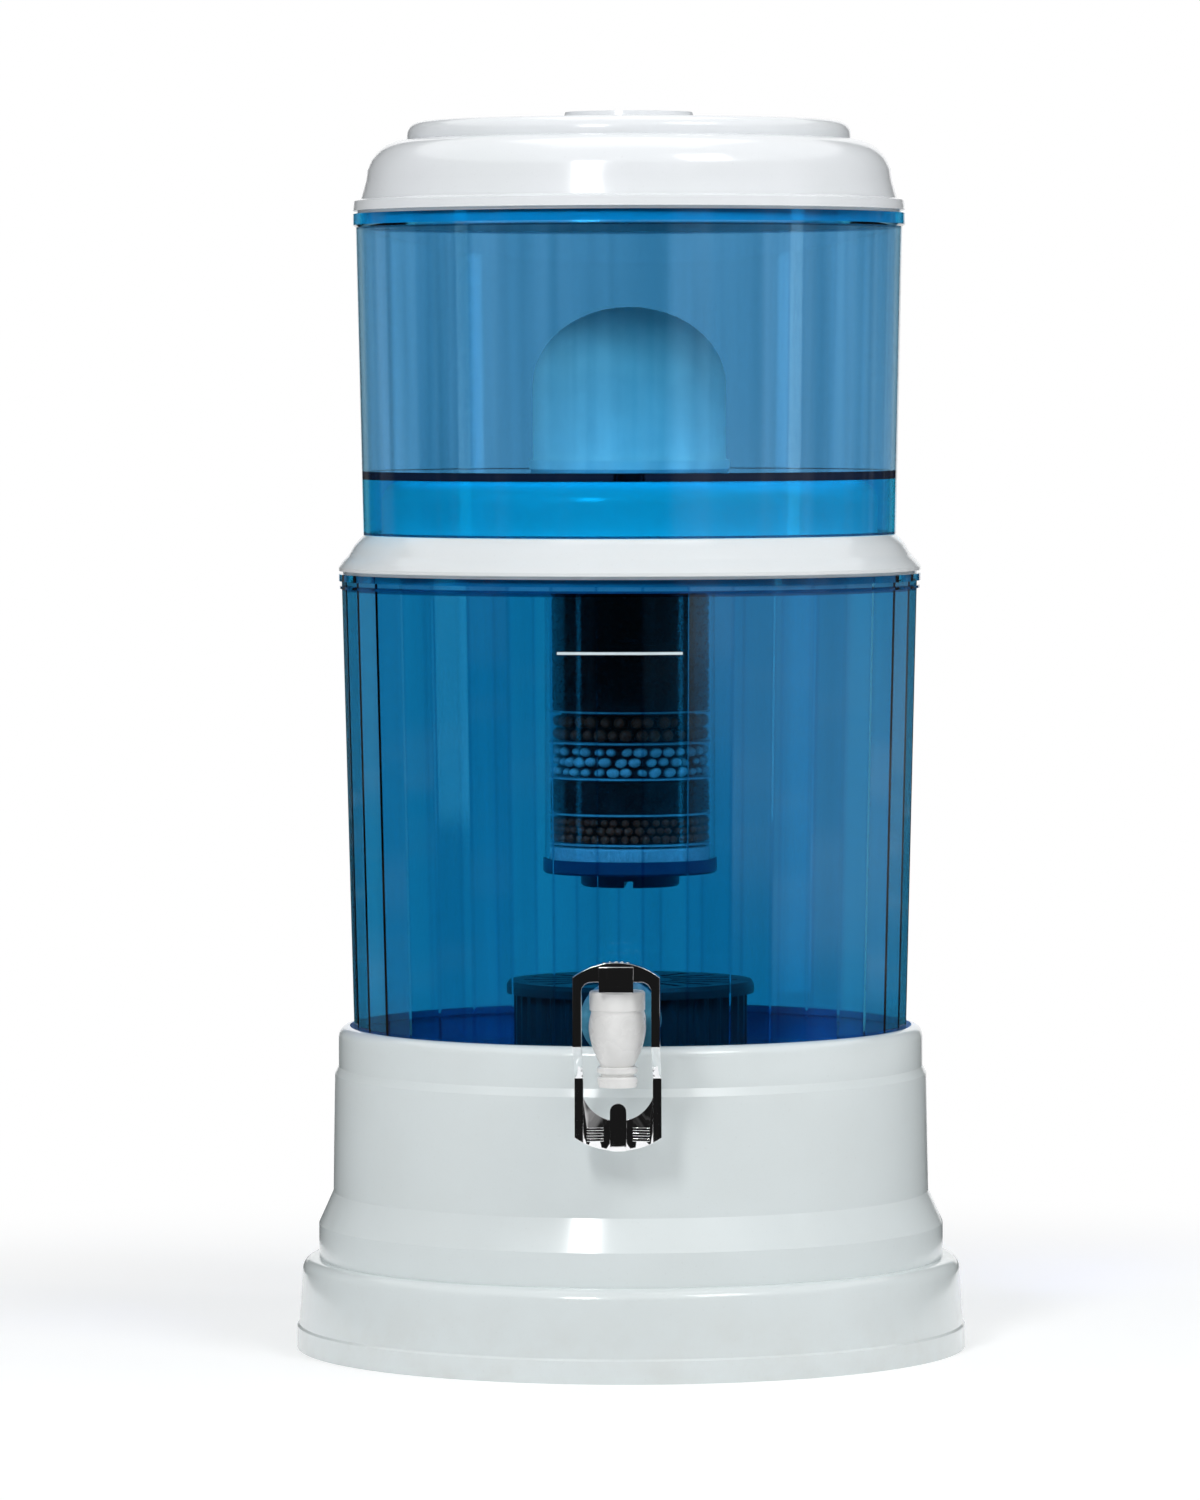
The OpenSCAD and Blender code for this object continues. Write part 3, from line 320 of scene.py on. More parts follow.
# White moulded plastic: faint mottling, a fine orange peel and a little dust. Patterns
# are named by their size in metres.
whiteLook = {
    "mottle": 0.05, "mottleShare": 0.7,
    "speck": 0.0012, "speckShare": 0.1, "speckTone": colour(0.5, 0.5, 0.48),
    "dust": 0.02, "dustShare": 0.25, "dustTone": colour(0.62, 0.6, 0.55),
    "broadGloss": 0.03, "fineGloss": 0.004,
    "peel": 0.0024, "peelDepth": 0.012 * mm,
    "flow": 0.045, "flowDepth": 0.12 * mm,
}


def whitePlastic(name, pale, warm, rough, dustLow=None, dustHigh=None):
    finish = Finish(name)
    mottle = finish.fade(finish.noise(whiteLook["mottle"], 4), 0.35, 0.7)
    speck = finish.fade(finish.noise(whiteLook["speck"], 2), 0.62, 0.8)
    tone = finish.blend(mottle * whiteLook["mottleShare"], pale, warm)
    tone = finish.blend(speck * whiteLook["speckShare"], tone, whiteLook["speckTone"])
    if dustLow is not None:
        film = 1 - finish.fade(finish.along("Z"), dustLow, dustHigh)
        film = film * finish.fade(finish.noise(whiteLook["dust"], 5, 0.6), 0.3, 0.8)
        tone = finish.blend(film * whiteLook["dustShare"], tone, whiteLook["dustTone"])
    gloss = finish.noise(whiteLook["broadGloss"], 3) * 0.1
    gloss = gloss + finish.noise(whiteLook["fineGloss"], 2) * 0.06 + (rough - 0.08)
    peel = finish.bump(finish.noise(whiteLook["peel"], 2), whiteLook["peelDepth"], 0.6)
    flow = finish.bump(finish.noise(whiteLook["flow"], 1), whiteLook["flowDepth"], 0.5, peel)
    return finish.surface({
        "Base Color": tone, "Roughness": gloss, "Normal": flow,
        "IOR": 1.5, "Coat Weight": 0.25, "Coat Roughness": 0.08,
    })


# What a lamp's light keeps at one of a wall's two faces.
def throughFace(tint):
    return colour(*(math.sqrt(part) for part in tint[:3]))


# Clear tinted plastic of both tanks. A tint is what one wall lets through.
tankWall = {
    "paintedStreaks": (
        # size, detail, how much shorter upright, fade from, to, share
        (0.07, 2, 0.25, 0.35, 0.65, 0.25),
        (0.03, 1, 0.012, 0.4, 0.62, 0.4),
        (0.009, 2, 0.02, 0.4, 0.7, 0.35),
    ),
    "paintedCornerShare": 0.6,
    "seamFrom": 0.75, "seamTo": 0.35, "seamShadeShare": 0.85,  # degrees either side of it
    "paintedBandFade": 3 * mm,
    "haze": 0.03, "hazeRough": 0.02,
    "ripple": 0.03, "rippleTall": 0.12,
}


# The bands in a look are painted light and shade: heights where the wall is seen edge on, lies
# in a rim's shadow or has white plastic right behind it are tinted to look so. Each is low,
# high, soft edge, tint, and the radius from which it shows.
def tankPlastic(name, look):
    finish = Finish(name)
    # Painted reflection: upright streaks of lighter and darker tint stand for the studio
    # mirrored in the wall.
    paintedStreaks = 0
    for size, detail, tall, low, high, share in tankWall["paintedStreaks"]:
        paintedStreak = finish.noise(size, detail, at=finish.stretch((1, 1, tall)))
        paintedStreaks = finish.fade(paintedStreak, low, high) * share + paintedStreaks
    tone = finish.blend(paintedStreaks, look["tint"], look["deep"])
    turn = finish.around()
    # Painted shade: each facet gets a lighter or darker tone of its own, and a dark line at its
    # corners, for how each facet catches and bends the light.
    if "facets" in look:
        facet = 360 / look["facets"]
        number = math.floor(turn / facet + 0.5)
        own = finish.add("ShaderNodeTexWhiteNoise", {"noise_dimensions": "1D"}, {"W": number})
        tone = finish.blend(own * look["paintedFacetShade"], tone, look["shade"])
        paintedCorner = finish.fade(turn.folded(facet / 2), facet / 2 - look["paintedCornerWidth"], facet / 2)
        tone = finish.blend(paintedCorner * tankWall["paintedCornerShare"], tone, look["shade"])
    # Painted shade: the mould seam is drawn as a dark upright line, for how it bends the light.
    if "seam" in look:
        seam = finish.fade(abs(turn - look["seam"]), tankWall["seamFrom"], tankWall["seamTo"])
        tone = finish.blend(seam * tankWall["seamShadeShare"], tone, look["shade"])
    height = finish.along("Z")
    away = finish.away()
    # Painted light and shade, band by band, over the wall's tint.
    for low, high, soft, tint, inner in look["paintedBands"]:
        outside = finish.fade(away, inner - tankWall["paintedBandFade"], inner)
        tone = finish.blend(finish.within(height, low, high, soft) * outside, tone, tint)
    haze = finish.fade(finish.noise(tankWall["haze"], 4), 0.3, 0.8)
    ripple = finish.noise(
        tankWall["ripple"], 1, at=finish.stretch((1, 1, tankWall["rippleTall"]))
    )
    return finish.surface({
        "Base Color": tone, "Roughness": haze * tankWall["hazeRough"] + look["rough"],
        "Normal": finish.bump(ripple, look["wave"]), "IOR": 1.5, "Transmission Weight": 1.0,
    }, throughFace(look["lamp"]))


whiteBase = whitePlastic(
    "white moulded base", colour(0.79, 0.85, 0.855), colour(0.765, 0.82, 0.82), rough=0.17,
    dustLow=0.0, dustHigh=0.05,
)
whiteLid = whitePlastic(
    "white moulded lid", colour(0.86, 0.885, 0.91), colour(0.83, 0.86, 0.875), rough=0.15
)
whiteCover = whitePlastic(
    "white moulded cover", colour(0.82, 0.85, 0.865), colour(0.79, 0.82, 0.83), rough=0.16
)
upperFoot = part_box("upper_tank")[0].z
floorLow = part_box("dome_nut")[1].z  # the upper tank's floor is between dome nut and gasket
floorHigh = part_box("dome_gasket")[0].z
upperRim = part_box("upper_tank")[1].z
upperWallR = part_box("upper_tank")[1].x - 14 * mm  # just inside the wall at its floor
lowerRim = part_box("lower_tank")[1].z
upperBlue = tankPlastic("blue clear upper tank", {
    "tint": colour(0.31, 0.58, 0.785), "deep": colour(0.13, 0.38, 0.55),
    "shade": colour(0.10, 0.30, 0.44), "lamp": colour(0.72, 1.5, 1.75),
    "seam": -149, "rough": 0.02, "wave": 0.08 * mm,
    "paintedBands": [
        # Painted light: the skirt, with the white cover right behind it, a brighter blue.
        (0, floorLow, 0.1 * mm, colour(0.008, 0.39, 0.65), upperWallR),
        # Painted shade: a dark line at the tank's foot, seen edge on.
        (0, upperFoot + 1.1 * mm, 0.2 * mm, colour(0.01, 0.1, 0.22), upperWallR),
        # Painted shade: a dark line where the floor is seen edge on.
        (
            floorLow - 0.2 * mm, floorHigh + 0.2 * mm, 0.1 * mm,
            colour(0.004, 0.012, 0.035), upperWallR,
        ),
        # Painted light: the rim, a deeper, brighter blue.
        (upperRim - 5 * mm, upperRim, 0.1 * mm, colour(0.008, 0.36, 0.7), 0),
        # Painted shadow: a dark band under the rim.
        (upperRim - 6.8 * mm, upperRim - 5.5 * mm, 0.3 * mm, colour(0.05, 0.2, 0.34), 0),
    ],
})
lowerBlue = tankPlastic("blue clear lower tank", {
    "tint": colour(0.07, 0.445, 0.655), "deep": colour(0.05, 0.39, 0.58),
    "shade": colour(0.012, 0.22, 0.44), "lamp": colour(0.8, 0.85, 1.25),
    "facets": 40, "paintedFacetShade": 0.28, "paintedCornerWidth": 0.5, "rough": 0.02, "wave": 0.08 * mm,
    "paintedBands": [
        # Painted shade: a dark line under the rim.
        (lowerRim - 7.5 * mm, lowerRim - 5 * mm, 0.3 * mm, colour(0.004, 0.13, 0.28), 0),
        # Painted light: the rim, a brighter blue.
        (lowerRim - 3.2 * mm, lowerRim, 0.1 * mm, colour(0.01, 0.3, 0.55), 0),
    ],
})

clearLook = {
    "clean": colour(0.93, 0.96, 0.97), "dull": colour(0.86, 0.9, 0.92),
    "lamp": colour(0.95, 0.97, 0.98), "haze": 0.012, "wave": 0.02, "waveDepth": 0.06 * mm,
}


def clearPlastic():
    finish = Finish("clear cartridge plastic")
    haze = finish.fade(finish.noise(clearLook["haze"], 4), 0.35, 0.75)
    return finish.surface({
        "Base Color": finish.blend(haze * 0.6, clearLook["clean"], clearLook["dull"]),
        "Roughness": haze * 0.05 + 0.04, "IOR": 1.49, "Transmission Weight": 1.0,
        "Normal": finish.bump(finish.noise(clearLook["wave"], 1), clearLook["waveDepth"]),
    }, throughFace(clearLook["lamp"]))


# Fired ceramic: chalky, with pores and a faint throwing line.
ceramicLook = {
    "pale": colour(0.90, 0.91, 0.90), "grey": colour(0.80, 0.82, 0.81), "blotch": 0.02,
    "pore": 0.0016, "poreTone": colour(0.6, 0.6, 0.57), "poreShare": 0.25,
    "ring": 0.0016, "depth": 0.05 * mm,
}


def firedCeramic():
    finish = Finish("fired filter ceramic")
    blotch = finish.fade(finish.noise(ceramicLook["blotch"], 5, 0.6), 0.3, 0.75)
    pores = finish.fade(finish.cells(ceramicLook["pore"]), 0.05, 0.3)
    rings = finish.noise(ceramicLook["ring"], 2, at=finish.stretch((0.05, 0.05, 1)))
    tone = finish.blend(blotch, ceramicLook["pale"], ceramicLook["grey"])
    tone = finish.blend((1 - pores) * ceramicLook["poreShare"], tone, ceramicLook["poreTone"])
    relief = finish.bump(pores, ceramicLook["depth"], 0.5)
    relief = finish.bump(rings, ceramicLook["depth"], 0.4, relief)
    return finish.surface({
        "Base Color": tone, "Roughness": blotch * 0.15 + 0.6, "Normal": relief,
        "Specular IOR Level": 0.3,
    })


rubberLook = {"dust": 0.004, "dark": 0.7, "rough": 0.55, "grain": 0.0006, "depth": 0.02 * mm}


def softRubber(name, shade):
    finish = Finish(name)
    dust = finish.fade(finish.noise(rubberLook["dust"], 4, 0.6), 0.4, 0.8)
    return finish.surface({
        "Base Color": finish.blend(dust, scaled(shade, rubberLook["dark"]), shade),
        "Roughness": dust * 0.15 + rubberLook["rough"],
        "Normal": finish.bump(finish.noise(rubberLook["grain"], 2), rubberLook["depth"]),
    })


# Small moulded pieces in one colour, with a fine texture.
smallLook = {"cloud": 0.012, "dark": 0.86, "grain": 0.0015, "depth": 0.012 * mm}


def mouldedPlastic(name, shade, rough):
    finish = Finish(name)
    cloud = finish.fade(finish.noise(smallLook["cloud"], 4), 0.3, 0.75)
    return finish.surface({
        "Base Color": finish.blend(cloud, shade, scaled(shade, smallLook["dark"])),
        "Roughness": cloud * 0.1 + rough, "IOR": 1.5,
        "Normal": finish.bump(finish.noise(smallLook["grain"], 2), smallLook["depth"]),
    })


# Crushed or fired pieces: each has a tone of its own. Between the radii in gaps, if
# given, a layer gets a painted shade, darker inwards, where the balls shade each other.
mineralLook = {
    "flecks": 0.6, "gap": 0.93, "gapTone": colour(0.004, 0.004, 0.004), "depth": 0.08 * mm,
}


def mineral(name, tones, size, rough, speck, gaps=None):
    finish = Finish(name)
    pick = finish.add(
        "ShaderNodeSeparateColor", values={0: finish.cells(size, "Color")}, out=None
    )
    tone = finish.blend(Amount(finish, pick.outputs[0]), tones[0], tones[1])
    fleck = finish.fade(finish.noise(speck, 3, 0.6), 0.5, 0.75)
    tone = finish.blend(fleck * mineralLook["flecks"], tone, tones[2])
    if gaps is not None:
        # Painted shade, darker towards the core.
        inner = finish.fade(finish.away(), gaps[1], gaps[0])
        tone = finish.blend(inner * mineralLook["gap"], tone, mineralLook["gapTone"])
    return finish.surface({
        "Base Color": tone, "Roughness": fleck * 0.2 + rough,
        "Normal": finish.bump(finish.noise(speck, 4, 0.6), mineralLook["depth"], 0.7),
    })


# Needled fibre mat.
matLook = {
    "strand": 0.0009, "strandDepth": 0.3 * mm, "tuft": 0.006, "tuftDepth": 0.6 * mm,
    "low": colour(0.62, 0.66, 0.68), "high": colour(0.92, 0.94, 0.95), "rough": 0.8,
}


def fibreMat():
    finish = Finish("white fibre mat")
    strands = finish.noise(matLook["strand"], 5, 0.7, finish.stretch((1, 1, 0.35)))
    tufts = finish.noise(matLook["tuft"], 4, 0.6)
    relief = finish.bump(strands, matLook["strandDepth"], 0.8)
    relief = finish.bump(tufts, matLook["tuftDepth"], 0.6, relief)
    return finish.surface({
        "Base Color": finish.blend(
            finish.fade(strands, 0.3, 0.7), matLook["low"], matLook["high"]
        ),
        "Roughness": strands * 0.1 + matLook["rough"], "Normal": relief, "Sheen Weight": 0.3,
    })


# Bright plating: soft ripples from the plated plastic, and fine rubbing.
platingLook = {
    "bright": colour(0.92, 0.92, 0.93), "dull": colour(0.8, 0.8, 0.82), "rough": 0.03,
    "rub": 0.002, "haze": 0.009, "edge": 0.25 * mm, "ripple": 0.011, "rippleDepth": 0.05 * mm,
}


def brightPlating():
    finish = Finish("bright plating")
    along = finish.stretch((1, 1, 0.15))
    rub = finish.fade(finish.noise(platingLook["rub"], 5, 0.65, along), 0.5, 0.9)
    haze = finish.fade(finish.noise(platingLook["haze"], 3), 0.45, 0.8)
    edges = finish.rounded(platingLook["edge"])
    ripple = finish.noise(platingLook["ripple"], 1)
    return finish.surface({
        "Base Color": finish.blend(haze * 0.4, platingLook["bright"], platingLook["dull"]),
        "Metallic": 1.0, "Roughness": rub * 0.08 + haze * 0.03 + platingLook["rough"],
        "Normal": finish.bump(ripple, platingLook["rippleDepth"], 0.6, edges),
    })


steelLook = {"draw": 0.0007, "pale": colour(0.6, 0.6, 0.62), "dark": colour(0.42, 0.42, 0.44)}


def springSteel():
    finish = Finish("drawn spring steel")
    draw = finish.noise(steelLook["draw"], 3, at=finish.stretch((1, 1, 0.3)))
    return finish.surface({
        "Base Color": finish.blend(draw, steelLook["pale"], steelLook["dark"]),
        "Metallic": 1.0, "Roughness": draw * 0.15 + 0.2,
    })


clearHousing = clearPlastic()
ceramic = firedCeramic()
dishWhite = mouldedPlastic("white dish plastic", colour(0.82, 0.85, 0.86), 0.3)
sealRubber = softRubber("grey seal rubber", colour(0.12, 0.12, 0.125))
screenMesh = mouldedPlastic("pale screen plastic", colour(0.45, 0.7, 0.75), 0.35)
navy = mouldedPlastic("navy plastic", colour(0.02, 0.13, 0.26), 0.3)
cassettePlastic = mouldedPlastic("blue grey cassette plastic", colour(0.03, 0.055, 0.065), 0.3)
tapWhite = mouldedPlastic("white tap plastic", colour(0.91, 0.905, 0.89), 0.22)
washerWhite = softRubber("pale washer rubber", colour(0.7, 0.72, 0.72))
bushWhite = mouldedPlastic("slippery bush plastic", colour(0.75, 0.75, 0.72), 0.35)
carbon = mineral(
    "crushed carbon",
    (colour(0.006, 0.006, 0.007), colour(0.016, 0.016, 0.018), colour(0.04, 0.04, 0.045)),
    size=0.003, rough=0.4, speck=0.0006,
)
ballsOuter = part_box("zeolite_balls")[1].x
ballShadeRadii = (ballsOuter - 4.2 * mm, ballsOuter - 1.4 * mm)
brownBalls = mineral(
    "brown fired balls",
    (colour(0.74, 0.08, 0.03), colour(0.5, 0.05, 0.02), colour(0.8, 0.16, 0.07)),
    size=0.006, rough=0.5, speck=0.0007, gaps=ballShadeRadii,
)
paleBalls = mineral(
    "pale mineral balls",
    (colour(0.92, 0.93, 0.92), colour(0.72, 0.75, 0.75), colour(0.55, 0.57, 0.56)),
    size=0.006, rough=0.45, speck=0.0011, gaps=ballShadeRadii,
)
riverStones = mineral(
    "river stones",
    (colour(0.5, 0.5, 0.47), colour(0.28, 0.27, 0.25), colour(0.62, 0.6, 0.55)),
    size=0.01, rough=0.5, speck=0.0014,
)
pad = fibreMat()
chrome = brightPlating()
steel = springSteel()
linePaint = mouldedPlastic("white line paint", colour(0.72, 0.84, 0.88), 0.5)

finishes = {
    "base_shell": whiteBase, "base_deck": whiteBase, "lower_tank": lowerBlue,
    "mid_cover": whiteCover, "upper_tank": upperBlue, "lid": whiteLid,
    "dome_filter": ceramic, "dome_base": dishWhite, "dome_gasket": sealRubber,
    "dome_nut": dishWhite, "cartridge_head": dishWhite, "cartridge_seal": sealRubber,
    "cartridge_housing": clearHousing, "media_screens": screenMesh, "carbon_upper": carbon,
    "mineral_balls_large": brownBalls, "zeolite_balls": paleBalls, "carbon_lower": carbon,
    "mineral_balls_small": brownBalls, "filter_pad": pad, "cartridge_foot": navy,
    "cassette_case": cassettePlastic, "cassette_lid": cassettePlastic,
    "cassette_stones": riverStones, "tap_barrel": tapWhite, "tap_cap": tapWhite,
    "tap_outer_washer": washerWhite, "tap_inner_washer": washerWhite, "tap_nut": tapWhite,
    "stem_bush": bushWhite, "valve_spring": steel, "valve_stem": bushWhite,
    "valve_seal": sealRubber, "lever_pin": steel, "lever": chrome,
}
for name, material in finishes.items():
    mesh = nodes[name].data
    mesh.materials.clear()
    mesh.materials.append(material)
print("stage: finishes on", len(finishes), "nodes")


# Rounded mouldings again from their CAD meshes, with the narrow bands shaded smooth:
# the body that each rides on, and the angle up to which it is smooth.
mouldings = {
    "base_shell": ("base", 17), "mid_cover": ("cover", 24), "lid": ("top", 24),
    "dome_filter": ("upper", 24), "tap_barrel": ("tank", 28), "tap_cap": ("tank", 28),
}
for node, (body, sharp) in mouldings.items():
    makePiece(node + "_moulding", mergedCopy(node), finishes[node], body, sharp, node)
print("stage: mouldings smoothed")

# The lever's plating rounds every edge.
leverEdge = {
    "width": 0.45 * mm, "steps": 3,
    "flat": 0.5,  # degrees under which faces are one
    "from": 25,  # degrees from which an edge is rounded
    "smooth": 30,
}


def plateLever():
    shape = mergedCopy("lever")
    bmesh.ops.dissolve_limit(
        shape, angle_limit=math.radians(leverEdge["flat"]), verts=shape.verts,
        edges=shape.edges,
    )
    corners = [
        edge for edge in shape.edges
        if len(edge.link_faces) == 2
        and edge.calc_face_angle(0) > math.radians(leverEdge["from"])
    ]
    bmesh.ops.bevel(
        shape, geom=corners, offset=leverEdge["width"], offset_type="OFFSET",
        segments=leverEdge["steps"], profile=0.5, affect="EDGES", clamp_overlap=True,
        material=-1,
    )
    bmesh.ops.triangulate(shape, faces=shape.faces)
    makePiece("lever_plated", shape, chrome, "handle", leverEdge["smooth"], "lever")


plateLever()
print("stage: lever plated")

# The valve spring, as a smooth piece of its own. The real one is pressed together against the
# cap as the stem rises.
spring = {"travel": 1.6 * mm, "smooth": 50}


def windSpring():
    piece = makePiece(
        "valve_spring_wire", mergedCopy("valve_spring"), steel, "bush", spring["smooth"],
        "valve_spring",
    )
    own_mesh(piece)


windSpring()
print("stage: spring wound")

pebble = {"turn": 6.28, "lean": 0.5}  # how far one may be turned and leant, in radians


# A pebble: a fine ball squashed, turned and dented.
def addPebble(shape, dice, centre, size, dent, detail=2):
    turn = Matrix.Rotation(dice.uniform(0, pebble["turn"]), 4, "Z")
    lean = Matrix.Rotation(dice.uniform(-pebble["lean"], pebble["lean"]), 4, "X")
    stand = Matrix.Translation(centre) @ turn @ lean @ Matrix.Diagonal((*size, 1))
    made = bmesh.ops.create_icosphere(shape, subdivisions=detail, radius=0.5, matrix=stand)
    for point in made["verts"]:
        point.co = centre + (point.co - centre) * (1 - dice.random() * dent)


# Balls in the cartridge, in rows against the housing round a core. Shares are of a
# ball's size, or of its height where they say so.
ballBed = {
    "core": 1.3,  # the core's face, inwards from the housing
    "coreSteps": 72,
    "rowStep": 0.88,  # of its height
    "lowest": 0.55,  # the first row's middle, of its height
    "spare": 1.1,  # room that the end rows take together, of its height
    "rings": (0.56, 1.31),  # the rings' middles, inwards from the housing
    "shift": 0.16,  # how far a ball may stray along its ring
    "inward": 0.08,
    "lift": 0.04,
    "smooth": 60,
}
ballLayers = {
    "mineral_balls_large": {
        "seed": 5, "size": 6.2 * mm, "flat": 0.96, "spread": 1.02, "grow": (0.8, 1.04),
        "dent": 0.03,
    },
    "zeolite_balls": {
        "seed": 8, "size": 6.3 * mm, "flat": 0.74, "spread": 0.98, "grow": (0.72, 1.1),
        "dent": 0.05,
    },
    "mineral_balls_small": {
        "seed": 3, "size": 4.3 * mm, "flat": 0.95, "spread": 1.02, "grow": (0.78, 1.04),
        "dent": 0.03,
    },
}


def fillLayer(node, look):
    dice = random.Random(look["seed"])
    low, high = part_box(node)
    size = look["size"]
    tall = size * look["flat"]
    depth = high.z - low.z
    core = high.x - ballBed["core"] * size
    shape = turned(
        [(0, low.z), (core, low.z), (core, high.z), (0, high.z)], ballBed["coreSteps"]
    )
    rows = max(1, round((depth - tall) / (tall * ballBed["rowStep"]))) + 1
    step = (depth - tall * ballBed["spare"]) / (rows - 1)
    for offset, inward in enumerate(ballBed["rings"]):
        ring = high.x - size * inward
        count = int(fullTurn * ring / (size * look["spread"]))
        for row in range(rows):
            for place in range(count):
                stray = dice.uniform(-ballBed["shift"], ballBed["shift"])
                turn = (place + 0.5 * ((row + offset) % 2) + stray) / count * fullTurn
                grow = dice.uniform(*look["grow"])
                away = ring - dice.uniform(0, ballBed["inward"]) * size
                lift = low.z + tall * ballBed["lowest"] + row * step
                rise = dice.uniform(-ballBed["lift"], ballBed["lift"]) * size
                if 0 < row < rows - 1:  # the end rows stay against their screens
                    lift += rise
                narrow = min(grow, 1.0)
                addPebble(
                    shape, dice, roundAxis(away, turn, lift),
                    (size * grow, size * narrow, tall * narrow), look["dent"],
                )
    makePiece(node + "_pebbles", shape, finishes[node], "upper", ballBed["smooth"], node)


for node, look in ballLayers.items():
    fillLayer(node, look)
print("stage: ball layers filled")

# Crushed carbon: sharp grains pressed on a core. Shares are of a grain's size.
carbonGrain = {
    "seed": 11, "size": 2.3 * mm,
    "cover": 1.15,  # the part of the core's side that one grain has, in squares of its size
    "core": 0.62, "coreSteps": 96,
    "inward": (0.58, 0.68), "ends": 0.6, "spread": (0.6, 1.05), "dent": 0.2, "detail": 1,
    "smooth": 12,
}


def fillCarbon(node):
    dice = random.Random(carbonGrain["seed"])
    low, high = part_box(node)
    size = carbonGrain["size"]
    core = high.x - carbonGrain["core"] * size
    shape = turned(
        [(0, low.z), (core, low.z), (core, high.z), (0, high.z)], carbonGrain["coreSteps"]
    )
    area = fullTurn * core * (high.z - low.z)
    end = carbonGrain["ends"] * size
    for _ in range(int(area / (size * size * carbonGrain["cover"]))):
        turn = dice.uniform(0, fullTurn)
        away = high.x - size * dice.uniform(*carbonGrain["inward"])
        lift = dice.uniform(low.z + end, high.z - end)
        spread = [size * dice.uniform(*carbonGrain["spread"]) for _ in range(3)]
        addPebble(
            shape, dice, roundAxis(away, turn, lift), spread, carbonGrain["dent"],
            carbonGrain["detail"],
        )
    makePiece(node + "_grains", shape, carbon, "upper", carbonGrain["smooth"], node)


fillCarbon("carbon_upper")
fillCarbon("carbon_lower")
print("stage: carbon filled")

# The filter pad: a cut disc of mat with soft edges and a lumpy side.
matPad = {
    "round": 1.6 * mm, "bends": 4,  # each edge's radius and its steps
    "rungs": 6, "steps": 120,  # steps up its side and round it
    "face": 0.5,  # where its flat faces have a ring of points, of its radius
    "lumpyFrom": 0.9,  # of its radius
    "lump": 0.35 * mm, "lumpsPerMetre": 160, "fineLumps": 2.7,
    "smooth": 180,
}


def fillPad():
    low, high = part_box("filter_pad")
    outer, soft = high.x, matPad["round"]
    side = high.z - low.z - 2 * soft
    bends = [math.radians(90 * bend / matPad["bends"]) for bend in range(matPad["bends"] + 1)]
    profile = [(0, low.z), (outer * matPad["face"], low.z)]
    for turn in bends:
        profile.append((
            outer - soft + soft * math.sin(turn), low.z + soft - soft * math.cos(turn)
        ))
    for rung in range(1, matPad["rungs"]):
        profile.append((outer, low.z + soft + side * rung / matPad["rungs"]))
    for turn in bends:
        profile.append((
            outer - soft + soft * math.cos(turn), high.z - soft + soft * math.sin(turn)
        ))
    profile += [(outer * matPad["face"], high.z), (0, high.z)]
    shape = turned(profile, matPad["steps"])
    for point in shape.verts:
        away = point.co.xy.length
        if away > outer * matPad["lumpyFrom"]:
            spot = point.co * matPad["lumpsPerMetre"]
            lump = noise.noise(spot) * 0.5 + noise.noise(spot * matPad["fineLumps"]) * 0.3
            shrink = 1 - matPad["lump"] * (0.6 + lump) / away
            point.co.x *= shrink
            point.co.y *= shrink
    piece = makePiece(
        "filter_pad_mat", shape, pad, "upper", matPad["smooth"], "filter_pad"
    )


fillPad()
print("stage: filter pad cut")

# Worn river stones in rings, one for each round one in the CAD's cassette.
stones = {
    "seed": 31, "size": 9.4 * mm, "step": 1.02, "stray": 0.1,
    "across": (0.78, 1.0), "tall": (0.6, 0.9), "dent": 0.05,
    "off": 0.1 * mm,  # off the cassette's floor
    "smooth": 60,
}


def fillCassette():
    dice = random.Random(stones["seed"])
    low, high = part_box("cassette_stones")
    middle = (low.z + high.z) / 2
    size = stones["size"]
    bed = high.x - size / 2
    rings = int(bed / (size * stones["step"]))
    shape = bmesh.new()
    for ring in range(rings + 1):
        away = bed * ring / rings
        count = 1 if ring == 0 else int(fullTurn * away / (size * stones["step"]))
        for place in range(count):
            stray = dice.uniform(-stones["stray"], stones["stray"])
            turn = (place + stray) / count * fullTurn
            spread = [size * dice.uniform(*stones["across"]) for _ in range(2)]
            spread.append(size * dice.uniform(*stones["tall"]))
            lift = low.z + spread[2] / 2 + stones["off"]
            addPebble(
                shape, dice, roundAxis(away, turn, min(lift, middle)), spread, stones["dent"]
            )
    makePiece(
        "cassette_river_stones", shape, riverStones, "cassette", stones["smooth"],
        "cassette_stones",
    )


fillCassette()
print("stage: cassette filled")

# The plain white line that shows how far the lower tank may be filled. It lies on the
# tank's front facet and bends round onto both next to it.
fillLine = {
    "height": 315 * mm, "width": 1.2 * mm, "length": 54.5 * mm, "film": 0.06 * mm,
    "cornerRadius": 128.19 * mm,  # of the facets' corners at that height
    "facet": 9.0,  # degrees
    "smooth": 30,
}


def newPoints(made):
    return [part for part in made["geom"] if isinstance(part, bmesh.types.BMVert)]


